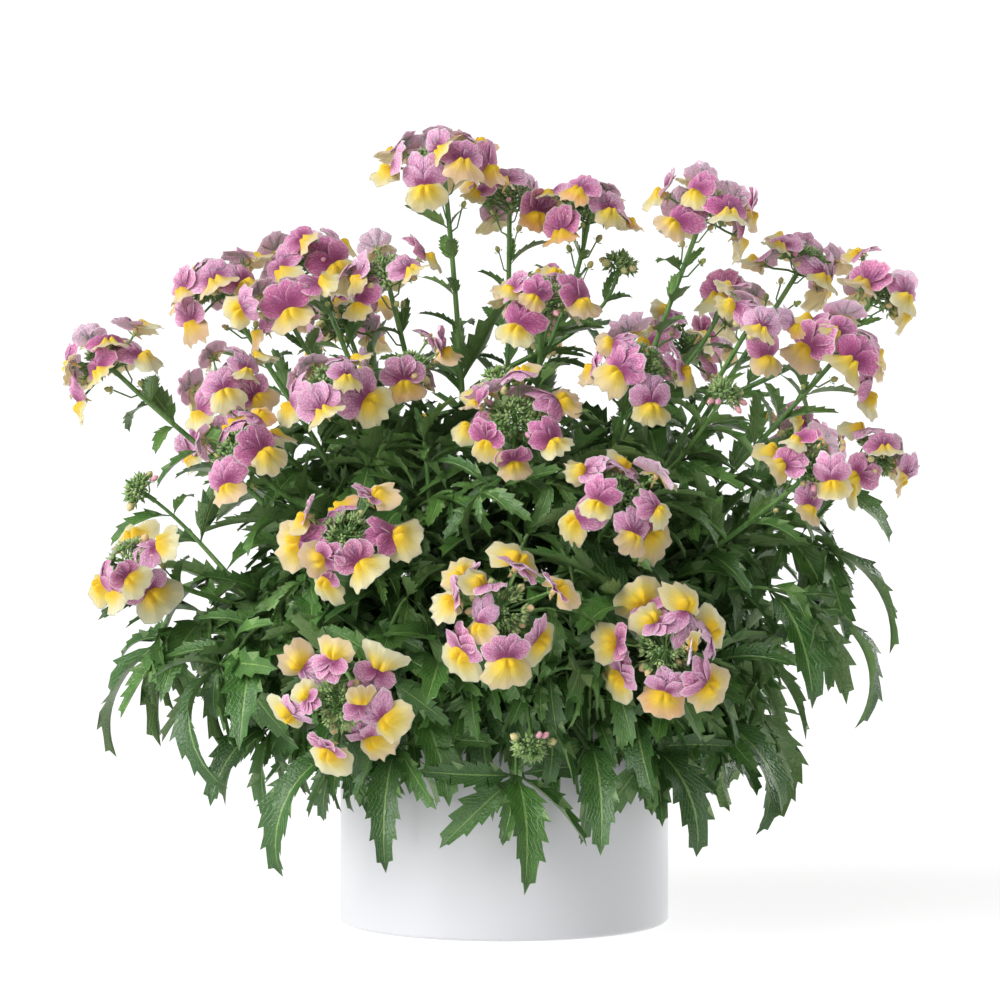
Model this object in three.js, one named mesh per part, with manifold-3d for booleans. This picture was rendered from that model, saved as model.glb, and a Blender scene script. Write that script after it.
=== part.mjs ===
// A nemesia in a plain white cylindrical pot, in millimetres.
// +Z is up, -Y faces the viewer, and the origin is the centre of the pot's flat underside.
// The plant is 21 leafy stems standing in holes in the soil. Each carries one to three flower heads:
// a green core of buds with two-lipped flowers round it, on stalks that spring from the core.

import * as THREE from "three";
import { mergeVertices } from "three/addons/utils/BufferGeometryUtils.js";
import Module from "manifold-3d";

const wasm = await Module();
wasm.setup();

// Driving dimensions, in millimetres and degrees

const POT = { radius: 60, height: 90, wall: 3, floor: 5, edge: 1.2, sides: 40 };
const SOIL = { top: 79, crown: 3, flat: 0.7, sides: 20 };
const GAP = 0.3; // between pieces that rest on each other
const HOLE = { depth: 6, width: 8 }; // a square hole for a stem
const STEM = { sides: 4, foot: 2.1, top: 1.5, rings: 5 }; // foot and top are half of the diagonal
const BRANCH = { sides: 3, foot: 1.8, top: 1.4, rings: 3 };
const SHOOT = { sides: 3, foot: 1.8, top: 1.0, rings: 3 };
const TWIG = { sides: 3, foot: 1.2, top: 0.8, rings: 2, longest: 70, starts: 12 };
const CORE = { foot: 1.5, thick: 2.4, neck: 8, tip: 17, buds: 5, reach: 6.4, height: 12.5, waist: 3.4,
  notch: 14 };
const FLOWER = { ring: 13.5, sunk: 1.5, throat: 1.2, back: 2.2, front: 0.7 };
const LEAF = { thick: 0.9, fold: 0.22, aspect: 0.28, sunk: 1.2, past: 4 };
const CLEARANCE = 0.45; // kept between pieces of different nodes
const TINY = 0.02;
const SNUG = 0.1; // kept between flowers or leaves of one node
const TRIES = { flower: 60, leaf: 12 }; // how often a piece is turned and bent anew to stand clear
const CENTRE = new THREE.Vector3(0, 30, 60); // the heads point away from here
const DROOPS = [15, 40, 65, 90, 115]; // how far a leaf bends down along its length

// The rim of a flower seen from the front: across, up and forward, anticlockwise from the right.
// First the four lobes of the upper lip, then the broad notched lower lip.
const FLOWER_RIM = [
  [5.8, -1.8, 0.8], [9.8, 3.6, -0.4], [5.6, 5.9, -0.6], [3.3, 10.6, -1.4], [0, 7.4, -0.8],
  [-3.3, 10.6, -1.4], [-5.6, 5.9, -0.6], [-9.8, 3.6, -0.4], [-5.8, -1.8, 0.8],
  [-8.2, -6.4, 6.0], [0, -8.4, 7.0], [8.2, -6.4, 6.0],
];

// A leaf's edge on one side, as shares of the length and of half the width, and its rib's points. Young
// leaves have no teeth yet.
const LEAF_EDGE = [[0.36, 1], [0.42, 0.76], [0.67, 0.74], [0.72, 0.5]];
const LEAF_RIB = [0.2, 0.6];
const YOUNG_EDGE = [[0.32, 1], [0.7, 0.62]];
const YOUNG_RIB = [0.45];

// Where things grow

// Each stem's heads, by the middle of the bud core, with how many flowers are open. The first head ends
// the stem. The others end branches that leave it at the share "fork" of its length. "trailing" are leafy
// side shoots that reach out over the rim, and "budding" are shoots that end in buds alone.
const STEMS = [
  { heads: [{ at: [-23, 2, 283], flowers: 7 }, { at: [-35, -26, 208], flowers: 2, fork: 0.5 }] },
  { heads: [{ at: [2, 28, 268], flowers: 4 }, { at: [32, 16, 264], flowers: 4, fork: 0.6 }],
    budding: [{ at: [44, 26, 246], fork: 0.7 }] },
  { heads: [{ at: [75, 2, 265], flowers: 6 }, { at: [83, 28, 229], flowers: 2, fork: 0.6 }],
    trailing: [[80, -22, 68]] },
  { heads: [{ at: [113, 30, 244], flowers: 5 }, { at: [140, 18, 232], flowers: 3, fork: 0.7 }],
    trailing: [[90, 42, 74]] },
  { heads: [{ at: [126, -18, 214], flowers: 6 }], trailing: [[114, -16, 138]] },
  { heads: [{ at: [113, -60, 172], flowers: 5 }, { at: [138, -18, 174], flowers: 3, fork: 0.5 }],
    trailing: [[110, -46, 118]] },
  { heads: [{ at: [91, -40, 225], flowers: 3 }], budding: [{ at: [82, -50, 201], fork: 0.6 }],
    trailing: [[74, -46, 78]] },
  { heads: [{ at: [50, -50, 210], flowers: 6 }, { at: [42, -88, 164], flowers: 6, fork: 0.4 }],
    trailing: [[30, -76, 74]] },
  { heads: [{ at: [60, -106, 112], flowers: 7 }], trailing: [[52, -62, 70]] },
  { heads: [{ at: [4, -70, 192], flowers: 7 }, { at: [-2, -122, 126], flowers: 7, fork: 0.3 }],
    budding: [{ at: [10, -106, 80], fork: 0.2 }], trailing: [[4, -78, 62]] },
  { heads: [{ at: [15, -34, 233], flowers: 4 }], budding: [{ at: [-2, -46, 206], fork: 0.6 }] },
  { heads: [{ at: [-58, -96, 150], flowers: 6 }, { at: [-60, -110, 96], flowers: 7, fork: 0.25 }],
    trailing: [[-38, -74, 72]] },
  { heads: [{ at: [-64, -54, 202], flowers: 5 }, { at: [-97, -62, 178], flowers: 5, fork: 0.5 }],
    trailing: [[-60, -62, 68]] },
  { heads: [{ at: [-44, -10, 241], flowers: 5 }, { at: [-82, -22, 230], flowers: 3, fork: 0.55 }] },
  { heads: [{ at: [-74, 26, 246], flowers: 5 }], trailing: [[-84, -30, 74]] },
  { heads: [{ at: [-108, 18, 236], flowers: 6 }, { at: [-104, -26, 200], flowers: 5, fork: 0.5 }] },
  { heads: [{ at: [-150, 10, 208], flowers: 6 }], trailing: [[-122, -12, 104]] },
  { heads: [{ at: [-140, -36, 136], flowers: 4 }], budding: [{ at: [-139, 0, 162], fork: 0.6 }],
    trailing: [[-102, -46, 98]] },
  { heads: [{ at: [-62, 66, 222], flowers: 5 }, { at: [-108, 70, 178], flowers: 5, fork: 0.45 }],
    trailing: [[-80, 50, 72]] },
  { heads: [{ at: [16, 76, 228], flowers: 5 }, { at: [-42, 112, 166], flowers: 5, fork: 0.4 },
    { at: [0, 124, 112], flowers: 5, fork: 0.25 }], trailing: [[-18, 92, 64]] },
  { heads: [{ at: [70, 68, 212], flowers: 5 }, { at: [44, 114, 160], flowers: 5, fork: 0.4 },
    { at: [116, 76, 172], flowers: 5, fork: 0.45 }], trailing: [[44, 84, 62]] },
];

// The dome of foliage. Leafy twigs end all round its middle, from the rim up to the highest, wherever nothing
// else is within "room" of their ends.
const DOME = { tries: 110, room: 11, middle: 104, across: 98, above: 90, below: 26, lowest: -42, highest: 62,
  depth: 0.3 };

// Small tools

const rad = THREE.MathUtils.degToRad;
const vec = (p) => new THREE.Vector3(...p);
const range = (count) => [...Array(count).keys()];
const UP = new THREE.Vector3(0, 0, 1);

// The same draw from 0 to 1 for the same two whole numbers.
function chance(a, b) {
  let h = (Math.imul(a, 374761393) + Math.imul(b, 668265263)) | 0;
  h = Math.imul(h ^ (h >>> 13), 1274126177);
  return ((h ^ (h >>> 16)) >>> 0) / 4294967296;
}

const spread = (a, b, size) => (chance(a, b) * 2 - 1) * size;

function solidFrom(points, faces) {
  const vertProperties = new Float32Array(points.flatMap((p) => [p.x, p.y, p.z]));
  const triVerts = new Uint32Array(faces.flat());
  return new wasm.Manifold(new wasm.Mesh({ numProp: 3, vertProperties, triVerts }));
}

function solidOf(geometry) {
  const bare = new THREE.BufferGeometry().setAttribute("position", geometry.getAttribute("position"));
  const merged = mergeVertices(bare.setIndex(geometry.index), 1e-4);
  const vertProperties = merged.getAttribute("position").array;
  return new wasm.Manifold(new wasm.Mesh({ numProp: 3, vertProperties, triVerts: merged.index.array }));
}

// The corners of edges shorter than TINY, which joining leaves behind, become one.
function withoutTinyEdges({ vertProperties, triVerts }) {
  const point = (v) => new THREE.Vector3().fromArray(vertProperties, v * 3);
  const stands = range(vertProperties.length / 3);
  const standIn = (v) => (stands[v] === v ? v : standIn(stands[v]));
  const corners = (i) => Array.from(triVerts.slice(i * 3, i * 3 + 3));
  const faces = range(triVerts.length / 3).map(corners);
  for (const [a, b] of faces.flatMap(([a, b, c]) => [[a, b], [b, c], [c, a]])) {
    if (point(a).distanceTo(point(b)) < TINY) stands[standIn(a)] = standIn(b);
  }
  const kept = faces.map((face) => face.map(standIn)).filter((face) => new Set(face).size === 3);
  return solidFrom(stands.map((_, v) => point(v)), kept);
}

function geometryOf(solid) {
  const mesh = withoutTinyEdges(solid.getMesh()).getMesh();
  const geometry = new THREE.BufferGeometry();
  geometry.setAttribute("position", new THREE.BufferAttribute(mesh.vertProperties, 3));
  geometry.setIndex(new THREE.BufferAttribute(mesh.triVerts, 1));
  geometry.computeVertexNormals();
  return geometry;
}

// Keeping pieces of different nodes apart

const placed = [];

function put(solid, node, kind, curve) {
  placed.push({ solid, node, kind, curve, box: solid.boundingBox() });
}

const boxesMeet = (a, b) => [0, 1, 2].every((k) => a.min[k] <= b.max[k] && b.min[k] <= a.max[k]);

function standsClear(solid, ignored) {
  const box = solid.boundingBox();
  return !placed.some((p) => !ignored(p) && boxesMeet(box, p.box) && solid.intersect(p.solid).volume() > 0);
}

// Pot and soil

function potGeometry() {
  const { radius: r, height: h, wall, floor, edge } = POT;
  const inner = r - wall;
  const profile = [
    [0, 0], [r - edge, 0], [r, edge], [r, h - edge], [r - edge, h], [inner, h], [inner, floor], [0, floor],
  ];
  const turned = new THREE.LatheGeometry(profile.map(([x, y]) => new THREE.Vector2(x, y)), POT.sides);
  return turned.rotateX(Math.PI / 2);
}

function soilSolid(feet) {
  const r = POT.radius - POT.wall - GAP;
  const under = POT.floor + GAP;
  const profile = [[0, under], [r, under], [r, SOIL.top - SOIL.crown], [r * SOIL.flat, SOIL.top], [0, SOIL.top]];
  const turned = new THREE.LatheGeometry(profile.map(([x, y]) => new THREE.Vector2(x, y)), SOIL.sides);
  const holes = feet.map((foot) => {
    const cut = new THREE.BoxGeometry(HOLE.width, HOLE.width, HOLE.depth * 2);
    return solidOf(cut.rotateZ(Math.atan2(foot.y, foot.x)).translate(foot.x, foot.y, SOIL.top));
  });
  return solidOf(turned.rotateX(Math.PI / 2)).subtract(wasm.Manifold.union(holes));
}

// Stems

// A point at a turn and a reach round an axis: "s" is across the axis, as near to "side" as can be.
function around(centre, axis, side, turn, reach) {
  const s = side.clone().addScaledVector(axis, -side.dot(axis)).normalize();
  const n = new THREE.Vector3().crossVectors(axis, s);
  return s.multiplyScalar(Math.cos(turn) * reach).addScaledVector(n, Math.sin(turn) * reach).add(centre);
}

// A ring of corners across a path, turned the same way all along it.
function ringAcross(centre, tangent, side, reach, sides) {
  return range(sides).map((i) => around(centre, tangent, side, (i * 2 * Math.PI) / sides, reach));
}

// The faces that close the first ring of points and the last, and the walls between two rings.
const firstCap = (sides) => range(sides - 2).map((i) => [0, i + 2, i + 1]);
const lastCap = (sides, from) => range(sides - 2).map((i) => [from, from + i + 1, from + i + 2]);
const wall = (sides, from) => range(sides).map((i) => [from + i, from + ((i + 1) % sides)])
  .flatMap(([p, q]) => [[p, q, q + sides], [p, q + sides, p + sides]]);

// A point on the straight stretches between a stalk's rings, where leaves and branches are rooted.
function pointOn(curve, t, { rings }) {
  const k = Math.min(Math.floor(t * rings), rings - 1);
  return curve.getPoint(k / rings).lerp(curve.getPoint((k + 1) / rings), t * rings - k);
}

function stalkSolid(curve, { sides, foot, top, rings }, extra = 0) {
  const a = curve.getPoint(0);
  const b = curve.getPoint(1);
  const side = new THREE.Vector3(a.y - b.y, b.x - a.x, 0).normalize();
  const points = [];
  const faces = firstCap(sides);
  for (let k = 0; k <= rings; k++) {
    const t = k / rings;
    const reach = foot + (top - foot) * t + extra;
    points.push(...ringAcross(curve.getPoint(t), curve.getTangent(t), side, reach, sides));
  }
  for (let k = 0; k < rings; k++) faces.push(...wall(sides, k * sides));
  faces.push(...lastCap(sides, rings * sides));
  return solidFrom(points, faces);
}

// A stem stands nearest the pot's middle when its head does.
function footOf(stem, number) {
  const [x, y] = stem.heads[0].at;
  const reach = Math.hypot(x, y);
  const heading = Math.atan2(y, x) + spread(number, 1, 0.12);
  const from = 6 + 0.26 * reach + spread(number, 2, 2);
  return new THREE.Vector3(Math.cos(heading) * from, Math.sin(heading) * from, SOIL.top - HOLE.depth + GAP);
}

const sideOf = (axis) => new THREE.Vector3(axis.y, -axis.x, 0.01).normalize();
const axisOf = (at) => vec(at).sub(CENTRE).normalize();

// From a start to the foot of a bud core at "at", rising first so that it clears the pot's rim.
function pathTo(start, at, [rise, sway], lean = 0.03) {
  const axis = axisOf(at);
  const end = vec(at).addScaledVector(axis, -CORE.height);
  const length = start.distanceTo(end);
  const aside = new THREE.Vector3(start.y - end.y, end.x - start.x, 0).normalize();
  const first = start.clone().lerp(end, lean);
  const second = end.clone().addScaledVector(axis, (rise - 0.45) * length);
  second.addScaledVector(aside, sway * length);
  first.z = Math.max(start.z + (0.3 + rise - lean) * length, POT.height + 22);
  second.z = Math.max(second.z, POT.height + 14);
  return new THREE.CubicBezierCurve3(start, first, second, end);
}

// Out over the rim and down to a tip that hangs.
function trailTo(start, end) {
  const first = start.clone().lerp(end, 0.35);
  const second = start.clone().lerp(end, 0.85);
  const crest = Math.max(start.z, end.z, POT.height) + 12;
  first.z = crest;
  second.z = Math.max(crest, end.z + 12);
  return new THREE.CubicBezierCurve3(start, first, second, end);
}

// A short side shoot, arched a little, that passes over the pot's rim where it ends outside it.
function twigTo(start, tip) {
  const arch = 0.14 * start.distanceTo(tip);
  const first = start.clone().lerp(tip, 0.35);
  const second = start.clone().lerp(tip, 0.8);
  const lowest = Math.hypot(tip.x, tip.y) > POT.radius - 8 ? POT.height + 12 : 0;
  first.z = Math.max(first.z + arch, lowest);
  second.z = Math.max(second.z + arch, lowest);
  return new THREE.CubicBezierCurve3(start, first, second, tip);
}

// The end of one of the twigs that the dome may have.
function tipOf(number) {
  const upward = ((number + 0.5) / DOME.tries) ** 1.2;
  const rise = rad(DOME.lowest + (DOME.highest - DOME.lowest) * upward);
  const turn = number * 2.39996;
  const share = 1 - DOME.depth * chance(number, 8);
  const flat = DOME.across * Math.cos(rise) * share;
  const tall = (rise > 0 ? DOME.above : DOME.below) * Math.sin(rise) * share;
  return new THREE.Vector3(Math.cos(turn) * flat, Math.sin(turn) * flat, DOME.middle + tall);
}

// Leaves

// A toothed blade that leaves along +X and bends down, with its upper face up. Both faces have the same
// triangles between rib and edge.
function leafSolid({ length, width, droop, young }, extra, sunk) {
  const bend = rad(droop);
  const at = (s, across, lift) => {
    const turn = bend * s;
    const x = (Math.sin(turn) / bend) * length + Math.sin(turn) * lift;
    const z = ((Math.cos(turn) - 1) / bend) * length + Math.cos(turn) * lift;
    return new THREE.Vector3(x, across, z);
  };
  const points = [new THREE.Vector3(-sunk, 0, 0), at(1 + extra / length, 0, 0)];
  const [root, tip] = [{ s: 0, i: 0 }, { s: 1, i: 1 }];
  const half = width / 2 + extra;
  const row = (places) => [root, ...places.map(([s, across, lift]) => {
    points.push(at(s, across, lift));
    return { s, i: points.length - 1 };
  }), tip];
  const edgePlaces = young ? YOUNG_EDGE : LEAF_EDGE;
  const ribPlaces = young ? YOUNG_RIB : LEAF_RIB;
  const edge = (hand) => row(edgePlaces.map(([s, w]) => [s, hand * w * half, w * half * LEAF.fold]));
  const rib = (face) => row(ribPlaces.map((s) => [s, 0, face * (LEAF.thick + extra)]));
  const [right, left, over, under] = [edge(1), edge(-1), rib(1), rib(-1)];
  const faces = [...strip(left, over), ...strip(right, under), ...strip(over, right), ...strip(under, left)];
  return solidFrom(points, faces);
}

// The triangles between two rows of points that share their first and last one, to the left of the first row.
function strip(row, other) {
  const faces = [];
  let [i, j] = [0, 0];
  while (i < row.length - 1 || j < other.length - 1) {
    const alongRow = j === other.length - 1 || (i < row.length - 1 && row[i + 1].s <= other[j + 1].s);
    const face = [row[i].i, alongRow ? row[i + 1].i : other[j + 1].i, other[j].i];
    if (new Set(face).size === 3) faces.push(face);
    if (alongRow) i++;
    else j++;
  }
  return faces;
}

function leafInPlace(leaf, extra = 0, sunk = LEAF.sunk) {
  const turned = new THREE.Matrix4().makeRotationFromEuler(
    new THREE.Euler(rad(leaf.roll), -rad(leaf.rise), rad(leaf.heading), "ZYX"));
  turned.setPosition(leaf.from);
  return leafSolid(leaf, extra, sunk).transform(turned.elements);
}

// One try at a leaf on a path. Leaves that face away from the pot's middle lie flatter than the others.
function leafTry(slot, number) {
  const { curve, form, t, heading, length, low, young } = slot;
  const seed = slot.seed * 16 + number;
  const from = pointOn(curve, t, form);
  const outward = Math.cos(rad(heading) - Math.atan2(from.y, from.x));
  const drop = Math.floor(chance(seed, 3) * 2.99) + (low ? 2 : outward > 0 ? 1 : 0);
  return {
    from,
    heading: heading + spread(seed, 4, 10 + 8 * number),
    rise: (low ? -4 : 34) - 16 * outward + spread(seed, 5, 12 + 3 * number),
    roll: spread(seed, 6, 26),
    length: length * (1 - 0.05 * number),
    width: length * LEAF.aspect * (0.88 + 0.3 * chance(seed, 7)),
    droop: DROOPS[Math.min(drop, DROOPS.length - 1)],
    young,
  };
}

// Leaves stand in pairs. On an upright stem each pair crosses the one below it, and on side shoots, which look
// ahead, the pairs lean forward, with one more leaf at the end.
function leafSlots(curve, form, rule, seed) {
  const { from, to, pairs, perPair, length, taper, low, ahead, young } = rule;
  const slots = [];
  const [start, end] = [curve.getPoint(0), curve.getPoint(1)];
  const forward = THREE.MathUtils.radToDeg(Math.atan2(end.y - start.y, end.x - start.x));
  const add = (t, heading, share, place) => {
    const own = seed * 32 + place;
    const long = length * share * (0.86 + 0.28 * chance(own, 9));
    slots.push({ curve, form, t, heading, low, young, seed: own, length: long });
  };
  if (ahead) add(1, forward, 1, 30);
  for (let k = pairs - 1; k >= 0; k--) {
    const upward = pairs === 1 ? 0 : k / (pairs - 1);
    const t = from + (to - from) * upward;
    const turn = forward + 45 + k * 90; // out of the flat sides of a square stem
    const headings = ahead ? [forward + 52, forward - 52] : [turn, turn + 180].slice(0, perPair);
    headings.forEach((heading, side) => add(t, heading, 1 - taper * upward, k * 2 + side));
  }
  return slots;
}

const ON_STEM = { from: 0.3, to: 0.62, pairs: 2, perPair: 2, length: 56, taper: 0.3 };
const ON_BRANCH = { from: 0.5, to: 0.5, pairs: 1, perPair: 1, length: 40, taper: 0 };
const ON_SHOOT = { from: 0.72, to: 0.72, pairs: 1, perPair: 2, length: 50, taper: 0, ahead: true, low: true };
const ON_TWIG = { from: 0.6, to: 0.6, pairs: 1, perPair: 2, length: 42, taper: 0, ahead: true, young: true };

// Flower heads

// A square neck under a star of buds that end in one point.
function coreSolid(foot, axis, extra = 0) {
  const side = sideOf(axis);
  const up = (height) => foot.clone().addScaledVector(axis, height);
  const points = [...ringAcross(foot, axis, side, CORE.foot + extra, 4),
    ...ringAcross(up(CORE.neck), axis, side, CORE.thick + extra, 4)];
  const count = CORE.buds * 2;
  for (const i of range(count)) {
    const [reach, height] = i % 2 ? [CORE.waist, CORE.notch] : [CORE.reach, CORE.height];
    points.push(around(up(height), axis, side, (i * 2 * Math.PI) / count, reach + extra));
  }
  points.push(up(CORE.tip + extra));
  const apex = points.length - 1;
  const faces = [...firstCap(4), ...wall(4, 0)];
  const below = (i) => 4 + (Math.round((i * 4) / count) % 4);
  for (const i of range(count)) {
    const [p, q] = [8 + i, 8 + ((i + 1) % count)];
    faces.push([below(i), q, p]);
    if (below(i + 1) !== below(i)) faces.push([below(i), below(i + 1), q]);
    faces.push([apex, p, q]);
  }
  return solidFrom(points, faces);
}

// One try at a flower of a head. The flowers stand in two rings round the core and face outwards, and those
// of a leaning head turn towards its tip.
function flowerTry(head, number, tryNumber) {
  const seed = (head.seed * 16 + number) * 80 + tryNumber;
  const { axis, foot } = head;
  const loose = Math.min(1, tryNumber / 20); // later tries stray further
  const turn = ((number + spread(seed, 11, 0.1 + 0.5 * loose)) / head.flowers) * 2 * Math.PI + head.seed;
  const outer = number % 2;
  const out = around(new THREE.Vector3(), axis, sideOf(axis), turn, 1);
  const reach = FLOWER.ring * Math.sqrt(head.flowers / 5) + spread(seed, 12, 1 + 3.5 * loose);
  const height = (outer ? 2 : 9) + spread(seed, 13, 1.5 + 5 * loose);
  const tilt = rad((outer ? 4 : 22) + 20 * (1 - axis.z) + spread(seed, 14, 8 + 22 * loose));
  const face = out.clone().multiplyScalar(Math.cos(tilt)).addScaledVector(axis, Math.sin(tilt));
  const up = axis.clone().multiplyScalar(Math.cos(tilt)).addScaledVector(out, -Math.sin(tilt));
  up.applyAxisAngle(face, rad(spread(seed, 15, 16)));
  const across = new THREE.Vector3().crossVectors(up, face);
  return {
    root: foot.clone().addScaledVector(axis, outer ? 3.5 : 7).addScaledVector(out, -FLOWER.sunk),
    throat: foot.clone().addScaledVector(axis, height).addScaledVector(out, reach),
    across, up, face,
    size: (0.9 + 0.2 * chance(seed, 16)) * (1 - 0.15 * loose),
  };
}

// A flower and its stalk: three-sided, widening from a point in the core to the flower's back, then out to
// the rim of both lips, and in again to the throat.
function flowerSolid({ root, throat, across, up, face, size }, extra = 0) {
  const grow = size * (1 + extra / 10);
  const place = (right, above, forward) => throat.clone()
    .addScaledVector(across, right).addScaledVector(up, above).addScaledVector(face, forward);
  const back = [90, 210, 330].map((turn) => place(Math.cos(rad(turn)) * (FLOWER.throat + extra),
    Math.sin(rad(turn)) * (FLOWER.throat + extra), -(FLOWER.back + extra)));
  const rim = FLOWER_RIM.map((p) => place(...p.map((c) => c * grow)));
  const points = [root, ...back, ...rim, place(0, 0, FLOWER.front + extra)];
  const faces = [[0, 2, 1], [0, 3, 2], [0, 1, 3]];
  const count = rim.length;
  const nearest = (i) => {
    const [x, y] = FLOWER_RIM[i % count];
    const turn = THREE.MathUtils.euclideanModulo(Math.atan2(y, x) - rad(30), 2 * Math.PI);
    return 1 + Math.floor((turn / (2 * Math.PI)) * 3) % 3;
  };
  for (let i = 0; i < count; i++) {
    const [p, q] = [4 + i, 4 + ((i + 1) % count)];
    faces.push([nearest(i), q, p]);
    if (nearest(i) !== nearest(i + 1)) faces.push([nearest(i), nearest(i + 1), q]);
    faces.push([4 + count, p, q]);
  }
  return solidFrom(points, faces);
}

// Growing the plant

const materials = {
  pot: new THREE.MeshStandardMaterial({ color: "#f1f1f2", roughness: 0.22, metalness: 0 }),
  soil: new THREE.MeshStandardMaterial({ color: "#3a2a1e", roughness: 0.95, metalness: 0 }),
  leaf: new THREE.MeshStandardMaterial({ color: "#2f6b2c", roughness: 0.5, metalness: 0 }),
  petal: new THREE.MeshStandardMaterial({ color: "#cf7fb4", roughness: 0.6, metalness: 0 }),
};

function meshOf(name, geometry, material) {
  const mesh = new THREE.Mesh(geometry, material);
  mesh.name = name;
  return mesh;
}

const numbered = (name, i) => name + "_" + String(i + 1).padStart(2, "0");

const potSolid = solidOf(potGeometry());
const feet = STEMS.map(footOf);
const soil = soilSolid(feet);
put(potSolid, "pot", "pot");
put(soil, "soil", "soil");

// The stalks of all stems come first, then cores, flowers and leaves, so that the leaves give way.
const leafWork = [];
const stalks = [];
const heads = [];
const BENDS = [[0.1, 0], [0.04, 0.06], [0.04, -0.06], [0.16, 0.1], [0.16, -0.1], [0, 0.14], [0, -0.14],
  [0.22, 0.18], [0.22, -0.18]];
const FORK_SHIFTS = [0, -0.08, 0.08, -0.16, 0.16];

// The first way of growing a stalk that stands clear of the other nodes.
function growStalk(node, form, curves) {
  for (const curve of curves) {
    if (!standsClear(stalkSolid(curve, form, CLEARANCE), (p) => p.node === node)) continue;
    put(stalkSolid(curve, form), node, "stalk", curve);
    stalks.push({ node, curve, form });
    return curve;
  }
  throw new Error("no clear way for a stalk of " + node);
}

// The ways from a fork of a stem to a head or bud cluster.
function branchWays(stem, { at, fork }) {
  return FORK_SHIFTS.flatMap((shift) =>
    BENDS.map((bend) => pathTo(pointOn(stem.main, fork + shift, STEM), at, bend, 0.28)));
}

// The ways from low on a stem to the tip of a trailing shoot.
function trailWays(stem, at) {
  return [0, 6, -6, 12, -12, 18, -18].flatMap((turn) => [0.2, 0.3, 0.12].map((fork) =>
    trailTo(pointOn(stem.main, fork, STEM), vec(at).applyAxisAngle(UP, rad(turn)))));
}

for (const [i, stem] of STEMS.entries()) {
  const node = numbered("leafy_stem", i);
  const main = growStalk(node, STEM, BENDS.map((bend) => pathTo(feet[i], stem.heads[0].at, bend)));
  stem.node = node;
  stem.main = main;
  leafWork.push({ node, slots: leafSlots(main, STEM, ON_STEM, i * 8 + 1) });
}
for (const [i, stem] of STEMS.entries()) {
  for (const [k, head] of stem.heads.entries()) {
    let curve = stem.main;
    if (k > 0) {
      curve = growStalk(stem.node, BRANCH, branchWays(stem, head));
      leafWork.push({ node: stem.node, slots: leafSlots(curve, BRANCH, ON_BRANCH, i * 8 + 1 + k) });
    }
    const axis = curve.getTangent(1);
    heads.push({ node: numbered("flower_head", heads.length), stem: stem.node, flowers: head.flowers, axis,
      foot: curve.getPoint(1).addScaledVector(axis, GAP), seed: heads.length + 1 });
  }
  for (const bud of stem.budding ?? []) {
    const curve = growStalk(stem.node, SHOOT, branchWays(stem, bud));
    const axis = curve.getTangent(1);
    put(coreSolid(curve.getPoint(1).addScaledVector(axis, -CORE.foot), axis), stem.node, "core");
  }
}
for (const [i, stem] of STEMS.entries()) {
  for (const [k, at] of (stem.trailing ?? []).entries()) {
    const curve = growStalk(stem.node, SHOOT, trailWays(stem, at));
    leafWork.unshift({ node: stem.node, slots: leafSlots(curve, SHOOT, ON_SHOOT, i * 8 + 5 + k) });
  }
}

for (const head of heads) {
  if (!standsClear(coreSolid(head.foot, head.axis, CLEARANCE / 2), (p) => p.node === head.stem)) {
    throw new Error(head.node + " meets another piece");
  }
  put(coreSolid(head.foot, head.axis), head.node, "core");
}

// A flower stands clear of other nodes, and its outer half of the other flowers of its head.
function placeFlower(head, number) {
  for (let tryNumber = 0; tryNumber < TRIES.flower; tryNumber++) {
    const flower = flowerTry(head, number, tryNumber);
    const outer = { ...flower, root: flower.root.clone().lerp(flower.throat, 0.5) };
    if (!standsClear(flowerSolid(flower, CLEARANCE), (p) => p.node === head.node)) continue;
    if (!standsClear(flowerSolid(outer, SNUG), (p) => p.node !== head.node)) continue;
    put(flowerSolid(flower), head.node, "flower");
    return;
  }
}

// A leaf stands clear of other nodes, and past its root of its own stem's other stalks and leaves.
function placeLeaf(node, slot) {
  for (let tryNumber = 0; tryNumber < TRIES.leaf; tryNumber++) {
    const leaf = leafTry(slot, tryNumber);
    if (!standsClear(leafInPlace(leaf, CLEARANCE), (p) => p.node === node)) continue;
    const others = (p) => p.node !== node || p.curve === slot.curve;
    if (!standsClear(leafInPlace(leaf, SNUG, -LEAF.past), others)) continue;
    put(leafInPlace(leaf), node, "leaf");
    return;
  }
}

for (const head of heads) {
  for (let k = 0; k < head.flowers; k++) placeFlower(head, k);
}
for (const { node, slots } of leafWork) {
  for (const slot of slots) placeLeaf(node, slot);
}

// A twig springs from the nearest stalk that leaves it a clear way, and rather from below than from above.
function growTwig(tip, ways, number) {
  for (const { node, from } of ways) {
    const curve = twigTo(from, tip);
    if (!standsClear(stalkSolid(curve, TWIG, CLEARANCE), (p) => p.node === node)) continue;
    put(stalkSolid(curve, TWIG), node, "stalk", curve);
    for (const slot of leafSlots(curve, TWIG, ON_TWIG, 200 + number)) placeLeaf(node, slot);
    return;
  }
}

const starts = stalks.flatMap(({ node, curve, form }) =>
  range(10).map((k) => ({ node, from: pointOn(curve, 0.08 + 0.08 * k, form) })));
for (const number of range(DOME.tries)) {
  const tip = tipOf(number);
  const room = wasm.Manifold.sphere(DOME.room, 8).translate(tip.toArray());
  if (!standsClear(room, () => false)) continue;
  const cost = ({ from }) => from.distanceTo(tip) + 1.5 * Math.max(0, from.z - tip.z + 8);
  const near = starts.filter(({ from }) => from.distanceTo(tip) < TWIG.longest);
  growTwig(tip, near.sort((a, b) => cost(a) - cost(b)).slice(0, TWIG.starts), number);
}

// The scene graph

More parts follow.
